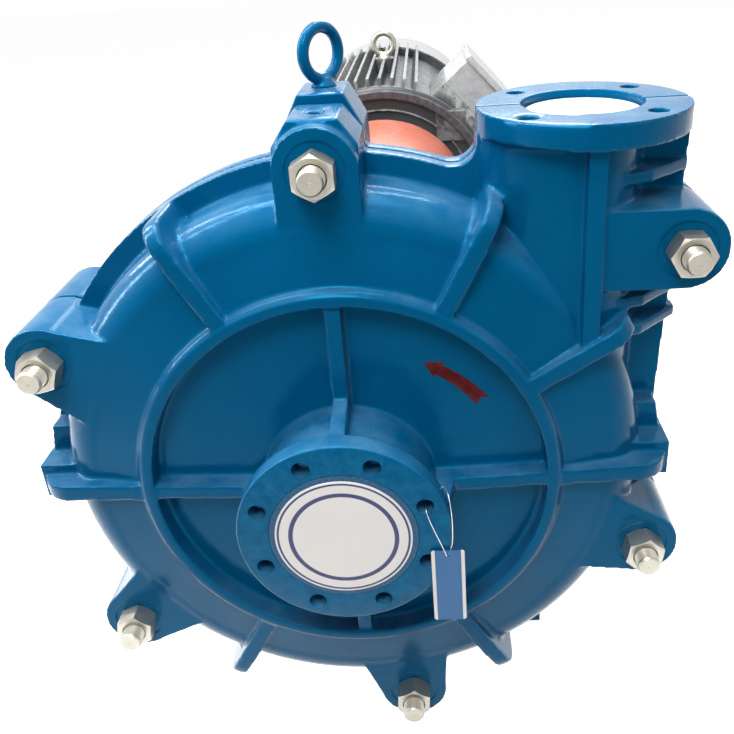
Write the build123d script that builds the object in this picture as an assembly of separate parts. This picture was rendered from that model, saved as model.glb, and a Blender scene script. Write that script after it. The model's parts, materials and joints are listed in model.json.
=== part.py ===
from build123d import *
import os
from math import cos, radians, sin, sqrt

# Slurry pump set: split-casing pump, bearing frame, coupling, motor and base.
# Millimetres. The origin is the centre of the suction flange face, +Y runs along
# the shaft towards the motor, +Z is up and +X is the discharge side.

# Casing halves
SPLIT_Y = 200.0
PARTING_GAP = 4.0
RIM_R = 367.0
RIM_THICKNESS = 20.0
RIM_FILLET = 26.0
SHOULDER_R = 296.0
SHOULDER_DEPTH = 48.0
SHOULDER_ROUND = 46.0
CASING_WALL = 16.0
CAVITY_DEPTH = 74.0
CAVITY_FLAT_R = 250.0
BACK_DEPTH = 100.0

# Suction side of the cover plate
SUCTION_FLANGE_R = 114.5
SUCTION_FLANGE_T = 24.0
SUCTION_PCD = 190.5
SUCTION_HOLES = 8
SUCTION_HOLE_R = 9.5
SUCTION_NECK_R = 98.0
SUCTION_BORE_R = 51.0
THROAT_TUBE_R = 80.0
DISH_DEPTH = 90.0
RING_INNER_R = 227.0
RING_OUTER_R = 239.0
RING_DEPTH = 115.0
RING_CHAMFER = 6.0
DISH_RIB_WIDTH = 17.0
DISH_RIB_ANGLES = (0, 90, 180, 270)

# Ribs over the round shoulder
RIB_WIDTH = 20.0
RIB_PROUD = 13.0
RIB_END_ROUND = 34.0
RIB_ANGLES = (0, 30, 61.5, 120, 180, 240, 300)
PAD_ANGLES = (0, 180)
PAD_HALF_HEIGHT = 22.0
PAD_PROUD = 5.0

# Cover bolts and their lugs
BOLT_CIRCLE_R = 365.0
FIRST_BOLT_ANGLE = 90.8
BOLT_STEP = 62.6
RING_BOLTS = 5
CORNER_BOLT = (368.0, 265.0)
BOLT_R = 13.5
BOLT_HOLE_GAP = 1.5
BOLT_STICKOUT = 17.0
NUT_AF = 42.0
NUT_HEIGHT = 26.0
BOLT_HEAD_HEIGHT = 17.0
LUG_R = 44.0
LUG_DEPTH = 92.0
LUG_ROOT_R = 300.0
LUG_ROOT_HALF = 58.0
TOP_LUG_RISE = 49.0
TOP_BLOCK_HALF = 25.0
TOP_BLOCK_SETBACK = 13.0
TOP_TAP_R = 7.0
TOP_TAP_DEPTH = 24.0
EYE_SEAT_RISE = 9.0
SPOT_FACE_R = 31.0
SPOT_FACE_DEPTH = 1.5

# Discharge branch
DISCHARGE_X = 271.0
DISCHARGE_TOP_Z = 402.0
DISCHARGE_FLANGE_R = 112.5
DISCHARGE_FLANGE_T = 26.0
DISCHARGE_PCD = 180.0
DISCHARGE_HOLES = 4
DISCHARGE_HOLE_R = 10.0
DISCHARGE_BORE_R = 38.0
PIPE_R = 56.0
PIPE_START_Z = 90.0
COLLAR_R = 63.6
COLLAR_HEIGHT = 20.0
PORT_RECESS = 10.0
NECK_LEFT = 114.0
NECK_RIGHT = 62.0
NECK_DEPTH = 88.0
NECK_START_Z = 100.0
NECK_RIM_RIGHT = 110.0
NECK_SHOULDER_Z = 60.0
NECK_RIB_WIDTH = 18.0
NECK_RIB_DEPTH = 102.0
NECK_RIB_START_Z = 150.0
SHELF_HEIGHTS = (163.0, 198.0, 336.0)
SHELF_THICKNESS = 13.0

# Transport covers over the ports
SUCTION_COVER_R = 73.0
DISCHARGE_COVER_R = 60.0
PORT_COVER_T = 1.5

# Liners and impeller
LINER_GAP = 0.4
LINER_WALL = 14.0
LINER_MOUTH_R = 216.0
CHAMBER_ROUND = 16.0
IMPELLER_R = 252.0
IMPELLER_GAP = 4.0
PUMP_OUT_VANE = 4.0
SHROUD_T = 14.0
EYE_R = 54.0
EYE_RING_R = 72.0
VANE_COUNT = 5
VANE_INNER_R = 66.0
VANE_SWEEP = 88.0
VANE_THICKNESS = 22.0
HUB_R = 58.0
HUB_WALL = 14.0
BACK_LINER_BORE_R = 63.0

# Stuffing box and gland
BOX_SPIGOT_R = 120.0
BOX_SPIGOT_LENGTH = 18.0
BOX_NECK_R = 108.0
BOX_BODY_R = 86.0
BOX_LENGTH = 126.0
BOX_BORE_R = 66.0
BOX_THROAT_R = 52.0
BOX_THROAT_LENGTH = 24.0
BOX_EAR_X = 106.0
BOX_EAR_R = 19.0
BOX_EAR_T = 22.0
PACKING_GAP = 0.3
PACKING_WIDTH = 15.6
PACKING_COUNT = 4
LANTERN_WIDTH = 22.0
GLAND_FLANGE_T = 18.0
GLAND_STUD_R = 8.0
GLAND_STUD_LENGTH = 82.0
GLAND_NUT_AF = 24.0
GLAND_NUT_HEIGHT = 14.0
GLAND_SPLIT = 0.6

# Pump shaft and bearings
SLEEVE_R = 48.0
SLEEVE_BORE_R = 38.0
SLEEVE_LENGTH = 172.0
THREAD_R = 36.0
THREAD_LENGTH = 64.0
HOUSING_START_Y = 484.0
HOUSING_LENGTH = 322.0
HOUSING_R = 120.0
HOUSING_FLANGE_R = 134.0
HOUSING_FLANGE_T = 16.0
RACE_R = 90.0
RACE_WALL = 10.0
RACE_GAP = 0.3
RACE_FIT = 0.03
PUMP_RACE_BORE_R = 55.0
DRIVE_RACE_BORE_R = 50.0
INNER_RACE_R = 66.0
BEARING_WIDTH = 70.0
BEARING_INSET = 34.0
ROLLER_COUNT = 12
LOCK_NUT_R = 70.0
LOCK_NUT_WIDTH = 18.0
END_COVER_T = 14.0
END_SCREW_R = 6.0
END_SCREW_PCD = 244.0
END_SCREW_COUNT = 6
LABYRINTH_R = 74.0
LABYRINTH_WIDTH = 16.0
LABYRINTH_GAP = 1.0
SHAFT_SHOULDER_R = 62.0
SHAFT_END_R = 40.0
SHAFT_END_Y = 1026.0
COUPLING_FIT_LENGTH = 140.0
KEY_WIDTH = 22.0
KEY_RISE = 5.0
KEY_LENGTH = 110.0

# Pump frame
SHAFT_HEIGHT = 457.0
FRAME_FLANGE_R = 228.0
FRAME_FLANGE_T = 26.0
FRAME_BARREL_R = 176.0
FRAME_BARREL_BORE_R = 150.0
FRAME_WINDOW_HALF = 82.0
FRAME_STUD_PCD = 410.0
FRAME_STUD_COUNT = 6
FRAME_STUD_R = 11.0
CRADLE_GAP = 0.4
SADDLE_LENGTH = 56.0
SADDLE_INSET = 24.0
RAIL_TOP_HALF = 190.0
FRAME_FOOT_HALF = 280.0
FRAME_FOOT_T = 26.0
FRAME_LEG_WALL = 24.0
FRAME_LEG_HALF = 250.0
CLAMP_PAD_R = 150.0
CLAMP_PAD_HEIGHT = 26.0
CLAMP_PAD_WIDTH = 36.0
CLAMP_BOLT_X = 170.0
CLAMP_BOLT_R = 10.0
CLAMP_THICKNESS = 14.0
ADJUST_Z = -140.0
ADJUST_R = 10.0
ADJUST_LENGTH = 150.0
ADJUST_LUG_T = 20.0
ADJUST_NUT_AF = 30.0
ADJUST_NUT_HEIGHT = 16.0

# Coupling and guard
COUPLING_GAP = 6.0
COUPLING_HUB_R = 64.0
COUPLING_FLANGE_R = 140.0
COUPLING_FLANGE_T = 28.0
COUPLING_PIN_PCD = 212.0
COUPLING_PIN_COUNT = 8
COUPLING_PIN_R = 9.0
BUSH_R = 17.0
BUSH_GAP = 0.4
PIN_HEAD_T = 8.0
GUARD_R = 190.0
GUARD_SHEET = 4.0
GUARD_START_Y = 890.0
GUARD_LENGTH = 262.0
GUARD_FOOT = 60.0

# Motor
MOTOR_HEIGHT = 280.0
MOTOR_SHAFT_R = 37.5
MOTOR_SHAFT_EXTENSION = 140.0
MOTOR_SHELL_R = 232.0
MOTOR_SHELL_WALL = 20.0
MOTOR_BODY_START = 52.0
MOTOR_BODY_LENGTH = 600.0
FIN_TIP_R = 268.0
FIN_WIDTH = 7.0
FIN_STEP = 6.0
SHIELD_T = 40.0
SHIELD_R = 252.0
SHIELD_HUB_R = 120.0
SHIELD_EAR_CENTRE = 158.0
SHIELD_EAR_HALF = 34.0
STATOR_BORE_R = 145.0
CORE_LENGTH = 340.0
CORE_START = 130.0
AIR_GAP = 1.5
WINDING_LENGTH = 46.0
MOTOR_RACE_R = 85.0
MOTOR_RACE_WIDTH = 36.0
MOTOR_ROLLERS = 10
MOTOR_ROTOR_R = 45.0
FAN_R = 205.0
FAN_WIDTH = 70.0
FAN_BLADES = 7
FAN_HUB_R = 60.0
COWL_R = 256.0
COWL_SHEET = 3.0
COWL_LENGTH = 215.0
COWL_SLOTS = 20
FOOT_HOLE_X = 228.5
FOOT_HOLE_SETBACK = 190.0
FOOT_HOLE_STEP = 419.0
FOOT_HALF_WIDTH = 48.0
FOOT_LENGTH = 76.0
FOOT_T = 26.0
FOOT_BOLT_R = 12.0
FOOT_BOLT_HEAD_R = 20.0
FOOT_BOLT_HEAD_T = 15.0
TERMINAL_ANGLE = 42.0
TERMINAL_SETBACK = 80.0
TERMINAL_LENGTH = 210.0
TERMINAL_HEIGHT = 150.0
TERMINAL_FACE_R = 340.0
TERMINAL_WALL = 6.0
TERMINAL_LID_T = 14.0

# Lifting eyes: ring radius, wire radius, seat radius
PUMP_EYE = (27.0, 6.5, 15.0)
MOTOR_EYE = (26.0, 7.0, 18.0)
PUMP_EYE_TURN = 52.0
PUMP_EYE_Y = 250.0
EYE_SHANK = 26.0

# Base
BASE_HEIGHT = 120.0
BASE_START_Y = 432.0
BASE_LENGTH = 1470.0
BASE_BOLT_X = 235.0
CHANNEL_WIDTH = 68.0
CHANNEL_FLANGE_T = 10.0
CHANNEL_WEB_T = 8.0
CHANNEL_LIP = 33.0
CROSS_WIDTH = 64.0
CROSS_PLACES = (12.0, 440.0, 880.0, 1394.0)
PEDESTAL_WIDTH = 90.0
PEDESTAL_WALL = 10.0
ANCHOR_HOLE_R = 11.0
ANCHOR_INSET = 110.0
FIT_GAP = 0.05

# Places along the shaft worked out from the sizes above
FRAME_FACE_Y = SPLIT_Y + BACK_DEPTH
CAVITY_FRONT_Y = SPLIT_Y - CAVITY_DEPTH
CAVITY_BACK_Y = SPLIT_Y + CAVITY_DEPTH
CHAMBER_FRONT_Y = CAVITY_FRONT_Y + LINER_GAP + LINER_WALL
CHAMBER_BACK_Y = CAVITY_BACK_Y - LINER_GAP - LINER_WALL
CHAMBER_R = SHOULDER_R + SHOULDER_ROUND - CASING_WALL - LINER_GAP - LINER_WALL
IMPELLER_FRONT_Y = CHAMBER_FRONT_Y + IMPELLER_GAP
IMPELLER_BACK_Y = CHAMBER_BACK_Y - IMPELLER_GAP
HUB_BACK_Y = CHAMBER_BACK_Y + IMPELLER_GAP
BOX_END_Y = CAVITY_BACK_Y + BOX_LENGTH
PACKING_START_Y = CAVITY_BACK_Y + BOX_THROAT_LENGTH + LINER_GAP
GLAND_NOSE_Y = PACKING_START_Y + LANTERN_WIDTH + PACKING_COUNT * (PACKING_WIDTH + PACKING_GAP) + PACKING_GAP
GLAND_FLANGE_Y = BOX_END_Y + LINER_GAP + 1.0
HOUSING_END_Y = HOUSING_START_Y + HOUSING_LENGTH
PUMP_BEARING_Y = HOUSING_START_Y + BEARING_INSET
DRIVE_BEARING_Y = HOUSING_END_Y - BEARING_INSET - BEARING_WIDTH
ROLLER_R = (RACE_R - RACE_WALL - INNER_RACE_R) / 2 - RACE_GAP
ROLLER_PATH_R = (RACE_R - RACE_WALL + INNER_RACE_R) / 2
MOTOR_TIP_Y = SHAFT_END_Y + COUPLING_GAP
MOTOR_FACE_Y = MOTOR_TIP_Y + MOTOR_SHAFT_EXTENSION
MOTOR_BODY_Y = MOTOR_FACE_Y + MOTOR_BODY_START
MOTOR_BACK_Y = MOTOR_BODY_Y + MOTOR_BODY_LENGTH
CORE_Y = MOTOR_BODY_Y + CORE_START
COWL_Y = MOTOR_BACK_Y + LINER_GAP
BASE_TOP_Z = -SHAFT_HEIGHT
BASE_BOTTOM_Z = BASE_TOP_Z - BASE_HEIGHT
FRAME_SADDLES = (HOUSING_START_Y + SADDLE_INSET, HOUSING_END_Y - SADDLE_INSET - SADDLE_LENGTH)
MOTOR_FEET_Y = (MOTOR_FACE_Y + FOOT_HOLE_SETBACK, MOTOR_FACE_Y + FOOT_HOLE_SETBACK + FOOT_HOLE_STEP)
PUMP_FEET_Y = (FRAME_SADDLES[0] + SADDLE_LENGTH / 2, FRAME_SADDLES[1] + SADDLE_LENGTH / 2)


def on_circle(radius, angle):
    """Point at an angle on a circle, in degrees from +X."""
    return (radius * cos(radians(angle)), radius * sin(radians(angle)))


def outline(*points):
    """Flat face inside straight edges."""
    return make_face(Polyline(*points, close=True))


def rounded_outline(points, radii):
    """Flat face inside straight edges whose corners have their own radii."""
    return make_face(FilletPolyline(*points, radius=radii, close=True))


def slab(sketch, y_one, y_two):
    """Sketch drawn in X and Z, made solid between two places along the shaft."""
    y_front, y_back = sorted((y_one, y_two))
    return extrude(Plane.XZ.offset(-y_back) * sketch, y_back - y_front)


def pillar(sketch, z_low, z_high):
    """Sketch drawn in X and Y, made solid between two heights."""
    return extrude(Pos(0, 0, z_low) * sketch, z_high - z_low)


def turned(*points):
    """(radius, y) outline turned about the shaft axis."""
    return revolve(outline(*points), Axis.Y)


def ring(outer_r, inner_r, y_one, y_two):
    """Plain ring about the shaft axis."""
    return slab(Circle(outer_r) - Circle(inner_r), y_one, y_two)


def rod(radius, y_one, y_two, x=0.0, z=0.0):
    """Round bar along Y."""
    return slab(Pos(x, z) * Circle(radius), y_one, y_two)


def post(radius, z_low, z_high, x, y):
    """Round bar along Z."""
    return pillar(Pos(x, y) * Circle(radius), z_low, z_high)


def hexagon(across_flats):
    """Hexagon given by the distance across its flats."""
    return RegularPolygon(across_flats / 2, 6, major_radius=False)


def turned_to(angle):
    """Rotation that carries +X to an angle about the shaft."""
    return Rot(0, -angle, 0)


def fused(pieces):
    """One solid from overlapping pieces."""
    total = pieces[0]
    for piece in pieces[1:]:
        total = total + piece
    return total


def group(pieces):
    """Separate solids kept together in one node."""
    return Compound(children=[piece.solid() for piece in pieces])


def block(x_one, x_two, y_one, y_two, z_one, z_two):
    """Box between three pairs of faces."""
    size = Box(abs(x_two - x_one), abs(y_two - y_one), abs(z_two - z_one))
    return Pos((x_one + x_two) / 2, (y_one + y_two) / 2, (z_one + z_two) / 2) * size


# Casing

def depth_y(side, depth):
    """Place along the shaft at a depth from the parting plane: side -1 is the front."""
    return SPLIT_Y + side * depth


def bolt_places():
    """(x, z) of every cover bolt, the corner bolt last."""
    places = [on_circle(BOLT_CIRCLE_R, FIRST_BOLT_ANGLE + BOLT_STEP * k) for k in range(RING_BOLTS)]
    return places + [CORNER_BOLT]


def rim_outline():
    """Round rim with the upright rim of the discharge neck."""
    left = DISCHARGE_X - DISCHARGE_FLANGE_R
    right = DISCHARGE_X + NECK_RIM_RIGHT
    top = DISCHARGE_TOP_Z - DISCHARGE_FLANGE_T
    tower = outline((left, 0), (left, top), (right, top), (RIM_R, NECK_SHOULDER_Z), (RIM_R, 0))
    sheet = Circle(RIM_R) + tower
    inner_corner = sheet.vertices().sort_by_distance((left, sqrt(RIM_R**2 - left**2), 0))[0]
    return fillet(inner_corner, RIM_FILLET)


def lug_outlines():
    """Round-ended bolt lugs: the upright top one, the flared ones round the rim, the level one at the neck."""
    top_x, top_z = bolt_places()[0]
    top = outline((top_x - LUG_R, LUG_ROOT_R), (top_x + LUG_R, LUG_ROOT_R), (top_x + LUG_R, top_z),
                  (top_x - LUG_R, top_z))
    flared = outline((LUG_ROOT_R, -LUG_ROOT_HALF), (BOLT_CIRCLE_R, -LUG_R),
                     (BOLT_CIRCLE_R, LUG_R), (LUG_ROOT_R, LUG_ROOT_HALF))
    flared = flared + Pos(BOLT_CIRCLE_R, 0) * Circle(LUG_R)
    lugs = [top + Pos(top_x, top_z) * Circle(LUG_R)]
    for k in range(1, RING_BOLTS):
        lugs.append(Rot(0, 0, FIRST_BOLT_ANGLE + BOLT_STEP * k) * flared)
    x, z = CORNER_BOLT
    arm = outline((DISCHARGE_X, z - LUG_R), (x, z - LUG_R), (x, z + LUG_R), (DISCHARGE_X, z + LUG_R))
    lugs.append(arm + Pos(x, z) * Circle(LUG_R))
    return lugs


def top_block(side, rise):
    """Flat-topped block on the top lug, set back from the lug's face."""
    x, z = bolt_places()[0]
    shape = outline((x - LUG_R, z), (x - LUG_R, z + LUG_R / 2), (x - TOP_BLOCK_HALF, z + rise),
                    (x + TOP_BLOCK_HALF, z + rise), (x + LUG_R, z + LUG_R / 2), (x + LUG_R, z))
    return slab(shape, depth_y(side, PARTING_GAP / 2), depth_y(side, LUG_DEPTH - TOP_BLOCK_SETBACK))


def shoulder_rib(side, angle, root_depth):
    """Rib from the raised ring over the round shoulder to the rim."""
    crest = SHOULDER_DEPTH + SHOULDER_ROUND + RIB_PROUD
    foot = PARTING_GAP / 2 + RIM_THICKNESS / 2
    points = ((RING_OUTER_R - RING_CHAMFER, depth_y(side, root_depth)), (RIM_R, depth_y(side, crest)),
              (RIM_R, depth_y(side, foot)), (RING_OUTER_R - RING_CHAMFER, depth_y(side, foot)))
    face = rounded_outline(points, (0, RIB_END_ROUND, 0, 0))
    return turned_to(angle) * extrude(face, RIB_WIDTH / 2, both=True)


def rim_pad(side, angle):
    """Jacking pad at the rim end of a level rib, with a web that runs up to the rim."""
    start = SHOULDER_R + SHOULDER_ROUND - CASING_WALL
    end = RIM_R + PAD_PROUD
    near = depth_y(side, PARTING_GAP / 2)
    pad = slab(Rectangle(end - start, PAD_HALF_HEIGHT * 2), near, depth_y(side, SHOULDER_DEPTH + CASING_WALL * 2))
    pad = Pos((start + end) / 2, 0, 0) * pad
    web = outline((start, 0), (end, 0), (RIM_R - PAD_PROUD, PAD_HALF_HEIGHT * 2.6), (start, PAD_HALF_HEIGHT * 2.6))
    lean = slab(web, near, depth_y(side, SHOULDER_DEPTH))
    if angle == 180:
        lean = mirror(lean, Plane.XY)
    return turned_to(angle) * (pad + lean)


def neck_plan():
    """Plan of the discharge neck: a wide left flank and a tighter right one."""
    left = Ellipse(NECK_LEFT, NECK_DEPTH) & Pos(-NECK_LEFT / 2, 0) * Rectangle(NECK_LEFT, NECK_DEPTH * 2)
    right = Ellipse(NECK_RIGHT, NECK_DEPTH) & Pos(NECK_RIGHT / 2, 0) * Rectangle(NECK_RIGHT, NECK_DEPTH * 2)
    return Pos(DISCHARGE_X, SPLIT_Y) * (left + right)


def one_side(side):
    """Big block that keeps what lies on one side of the parting slit."""
    reach = DISCHARGE_TOP_Z + RIM_R
    near = depth_y(side, PARTING_GAP / 2)
    return block(-reach, reach, near, depth_y(side, reach), -reach, reach)


def discharge_half(side):
    """Half of the neck and its flange, with the front rib and the shelves beside it."""
    under = DISCHARGE_TOP_Z - DISCHARGE_FLANGE_T
    half_rib = NECK_RIB_WIDTH / 2
    right = DISCHARGE_X + NECK_RIM_RIGHT
    pieces = [
        pillar(neck_plan(), NECK_START_Z, under),
        pillar(Pos(DISCHARGE_X, SPLIT_Y) * Circle(DISCHARGE_FLANGE_R), under, DISCHARGE_TOP_Z),
        block(DISCHARGE_X - half_rib, DISCHARGE_X + half_rib, SPLIT_Y, depth_y(side, NECK_RIB_DEPTH),
              NECK_RIB_START_Z, under),
    ]
    for height in SHELF_HEIGHTS:
        shelf = outline((DISCHARGE_X, SPLIT_Y), (DISCHARGE_X, depth_y(side, NECK_DEPTH)),
                        (DISCHARGE_X + NECK_RIGHT, depth_y(side, NECK_DEPTH * 0.75)),
                        (right, depth_y(side, RIM_THICKNESS)), (right, SPLIT_Y))
        pieces.append(pillar(shelf, height - SHELF_THICKNESS / 2, height + SHELF_THICKNESS / 2))
    return fused(pieces) & one_side(side)


def liner_space(shrink, inner_r):
    """Room for the liners inside the casing, drawn in by a clearance."""
    flat = CAVITY_DEPTH - shrink
    bulge = SHOULDER_ROUND - CASING_WALL - shrink
    front_y = depth_y(-1, SHOULDER_DEPTH)
    back_y = depth_y(1, SHOULDER_DEPTH)
    edges = [
        Polyline((inner_r, depth_y(1, flat)), (inner_r, depth_y(-1, flat)), (CAVITY_FLAT_R, depth_y(-1, flat)),
                 (SHOULDER_R, front_y - bulge)),
        CenterArc((SHOULDER_R, front_y), bulge, -90, 90),
        Line((SHOULDER_R + bulge, front_y), (SHOULDER_R + bulge, back_y)),
        CenterArc((SHOULDER_R, back_y), bulge, 0, 90),
        Polyline((SHOULDER_R, back_y + bulge), (CAVITY_FLAT_R, depth_y(1, flat)), (inner_r, depth_y(1, flat))),
    ]
    return revolve(make_face(edges), Axis.Y)


def casing_shell(side, centre_points):
    """Turned body of one half: its own centre, then the round shoulder and the parting face."""
    round_y = depth_y(side, SHOULDER_DEPTH)
    face_y = depth_y(side, PARTING_GAP / 2)
    outer = SHOULDER_R + SHOULDER_ROUND
    edges = [
        Polyline(*centre_points, (SHOULDER_R, depth_y(side, SHOULDER_DEPTH + SHOULDER_ROUND))),
        CenterArc((SHOULDER_R, round_y), SHOULDER_ROUND, 90 * side, -90 * side),
        Polyline((outer, round_y), (outer, face_y), (0, face_y), centre_points[0]),
    ]
    return revolve(make_face(edges), Axis.Y)


def casing_half(side, centre_points, rib_root_depth, top_rise):
    """Body, rim, lugs, ribs and discharge half of one casing plate, hollowed and drilled."""
    near = depth_y(side, PARTING_GAP / 2)
    lug_face = depth_y(side, LUG_DEPTH)
    pieces = [
        casing_shell(side, centre_points),
        slab(rim_outline(), near, depth_y(side, PARTING_GAP / 2 + RIM_THICKNESS)),
        discharge_half(side),
    ]
    pieces += [slab(lug, near, lug_face) for lug in lug_outlines()]
    pieces.append(top_block(side, top_rise))
    pieces += [shoulder_rib(side, angle, rib_root_depth) for angle in RIB_ANGLES]
    pieces += [rim_pad(side, angle) for angle in PAD_ANGLES]
    body = fused(pieces) - liner_space(0, 0)
    body = body - post(PIPE_R + LINER_GAP, PIPE_START_Z - LINER_GAP, DISCHARGE_TOP_Z, DISCHARGE_X, SPLIT_Y)
    body = body - post(COLLAR_R + LINER_GAP, DISCHARGE_TOP_Z - PORT_RECESS - COLLAR_HEIGHT - LINER_GAP,
                       DISCHARGE_TOP_Z, DISCHARGE_X, SPLIT_Y)
    for x, z in bolt_places():
        body = body - rod(BOLT_R + BOLT_HOLE_GAP, near, lug_face, x, z)
        body = body - rod(SPOT_FACE_R, lug_face, depth_y(side, LUG_DEPTH - SPOT_FACE_DEPTH), x, z)
    for k in range(DISCHARGE_HOLES):
        x, y = on_circle(DISCHARGE_PCD / 2, (k + 0.5) * 360 / DISCHARGE_HOLES)
        body = body - post(DISCHARGE_HOLE_R, DISCHARGE_TOP_Z - DISCHARGE_FLANGE_T, DISCHARGE_TOP_Z,
                           DISCHARGE_X + x, SPLIT_Y + y)
    return body


def dish_rib(angle):
    """Rib from the suction flange down to the dish and out to the raised ring."""
    dish_y = SPLIT_Y - DISH_DEPTH
    crest = (SPLIT_Y - RING_DEPTH - RING_CHAMFER / 2, SPLIT_Y - RING_DEPTH + RING_CHAMFER / 2)
    points = ((SUCTION_NECK_R - RING_CHAMFER, SUCTION_FLANGE_T), (SUCTION_FLANGE_R - RING_CHAMFER, SUCTION_FLANGE_T),
              (SUCTION_FLANGE_R + RING_CHAMFER, crest[0]), (RING_INNER_R + RING_CHAMFER, crest[1]),
              (RING_INNER_R + RING_CHAMFER, dish_y + RING_CHAMFER), (SUCTION_NECK_R - RING_CHAMFER,
                                                                     dish_y + RING_CHAMFER))
    return turned_to(angle) * extrude(outline(*points), DISH_RIB_WIDTH / 2, both=True)


def cover_plate():
    """Front casing half: suction flange, ribbed dish, raised ring, round shoulder and lugs."""
    dish_y = SPLIT_Y - DISH_DEPTH
    ring_y = SPLIT_Y - RING_DEPTH
    outer = RING_OUTER_R + RING_CHAMFER
    centre = ((0, 0), (SUCTION_FLANGE_R, 0), (SUCTION_FLANGE_R, SUCTION_FLANGE_T),
              (SUCTION_NECK_R, SUCTION_FLANGE_T), (SUCTION_NECK_R, dish_y - RING_CHAMFER), (RING_INNER_R, dish_y),
              (RING_INNER_R, ring_y), (RING_OUTER_R, ring_y), (outer, ring_y + RING_CHAMFER),
              (outer, ring_y + RING_CHAMFER * 2))
    body = casing_half(-1, centre, RING_DEPTH - RING_CHAMFER / 3, TOP_LUG_RISE)
    body = fused([body] + [dish_rib(angle) for angle in DISH_RIB_ANGLES])
    body = body - rod(THROAT_TUBE_R, 0, CAVITY_FRONT_Y)
    top_x, top_z = bolt_places()[0]
    crown = top_z + TOP_LUG_RISE
    body = body - post(TOP_TAP_R, crown - TOP_TAP_DEPTH, crown, top_x, depth_y(-1, LUG_DEPTH / 2))
    for k in range(SUCTION_HOLES):
        x, z = on_circle(SUCTION_PCD / 2, (k + 0.5) * 360 / SUCTION_HOLES)
        body = body - rod(SUCTION_HOLE_R, 0, SUCTION_FLANGE_T, x, z)
    return body


def frame_plate():
    """Rear casing half, flat at the back, bored for the stuffing box."""
    back = depth_y(1, BACK_DEPTH)
    centre = ((0, back), (RING_OUTER_R, back))
    body = casing_half(1, centre, BACK_DEPTH, TOP_LUG_RISE + EYE_SEAT_RISE)
    body = body - rod(BOX_SPIGOT_R, CAVITY_BACK_Y, CAVITY_BACK_Y + BOX_SPIGOT_LENGTH)
    body = body - rod(BOX_NECK_R, CAVITY_BACK_Y, back)
    for x, z in frame_stud_places():
        body = body - rod(FRAME_STUD_R + FIT_GAP, back - FRAME_STUD_R, back, x, z)
    eye_x, eye_z = eye_seat()
    return body - post(PUMP_EYE[1] + FIT_GAP, eye_z - EYE_SHANK, eye_z, eye_x, PUMP_EYE_Y)


def eye_seat():
    """(x, z) of the flat on which the pump's lifting eye sits."""
    x, z = bolt_places()[0]
    return (x, z + TOP_LUG_RISE + EYE_SEAT_RISE)


def cover_bolts():
    """Through bolts with their heads behind the frame plate."""
    tip = depth_y(-1, LUG_DEPTH - SPOT_FACE_DEPTH + NUT_HEIGHT + BOLT_STICKOUT)
    seat = depth_y(1, LUG_DEPTH - SPOT_FACE_DEPTH)
    bolts = []
    for x, z in bolt_places():
        head = slab(Pos(x, z) * hexagon(NUT_AF), seat, seat + BOLT_HEAD_HEIGHT)
        bolts.append(head + rod(BOLT_R, tip, seat, x, z))
    return group(bolts)


def cover_nuts():
    """Heavy nuts on the front faces of the lugs."""
    seat = depth_y(-1, LUG_DEPTH - SPOT_FACE_DEPTH)
    sketch = hexagon(NUT_AF) - Circle(BOLT_R + FIT_GAP)
    return group([slab(Pos(x, z) * sketch, seat - NUT_HEIGHT, seat) for x, z in bolt_places()])


def eyebolt(ring_r, wire_r, seat_r):
    """Lifting eye standing on z = 0 with its ring across X."""
    ring_centre = wire_r * 1.2 + ring_r
    eye = Pos(0, 0, ring_centre) * Rot(90, 0, 0) * Torus(ring_r, wire_r)
    stem = Cone(seat_r, wire_r * 1.3, wire_r * 1.5, align=(Align.CENTER, Align.CENTER, Align.MIN))
    shank = Cylinder(wire_r, EYE_SHANK, align=(Align.CENTER, Align.CENTER, Align.MAX))
    return eye + stem + shank


def lifting_eye():
    """Eye on the top lug of the frame plate."""
    x, z = eye_seat()
    return Pos(x, PUMP_EYE_Y, z) * Rot(0, 0, PUMP_EYE_TURN) * eyebolt(*PUMP_EYE)


# Liners and impeller

def volute_liner():
    """Hard-metal volute: ring-shaped chamber with the discharge pipe running off it."""
    collar_top = DISCHARGE_TOP_Z - PORT_RECESS
    shell = liner_space(LINER_GAP, LINER_MOUTH_R)
    shell = shell + post(PIPE_R, PIPE_START_Z, collar_top, DISCHARGE_X, SPLIT_Y)
    shell = shell + post(COLLAR_R, collar_top - COLLAR_HEIGHT, collar_top, DISCHARGE_X, SPLIT_Y)
    corners = ((0, CHAMBER_FRONT_Y), (CHAMBER_R, CHAMBER_FRONT_Y), (CHAMBER_R, CHAMBER_BACK_Y), (0, CHAMBER_BACK_Y))
    chamber = revolve(rounded_outline(corners, (0, CHAMBER_ROUND, CHAMBER_ROUND, 0)), Axis.Y)
    return shell - chamber - post(DISCHARGE_BORE_R, 0, collar_top, DISCHARGE_X, SPLIT_Y)


def throatbush():
    """Suction liner: intake tube that flares into the front wall of the chamber."""
    tube = THROAT_TUBE_R - LINER_GAP
    disc_y = CAVITY_FRONT_Y + LINER_GAP
    disc_r = LINER_MOUTH_R - LINER_GAP
    return turned((SUCTION_BORE_R, 0), (tube, 0), (tube, disc_y), (disc_r, disc_y), (disc_r, CHAMBER_FRONT_Y),
                  (SUCTION_BORE_R, CHAMBER_FRONT_Y))


def back_liner():
    """Rear wall of the chamber."""
    return ring(LINER_MOUTH_R - LINER_GAP, BACK_LINER_BORE_R, CHAMBER_BACK_Y, CAVITY_BACK_Y - LINER_GAP)


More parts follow.
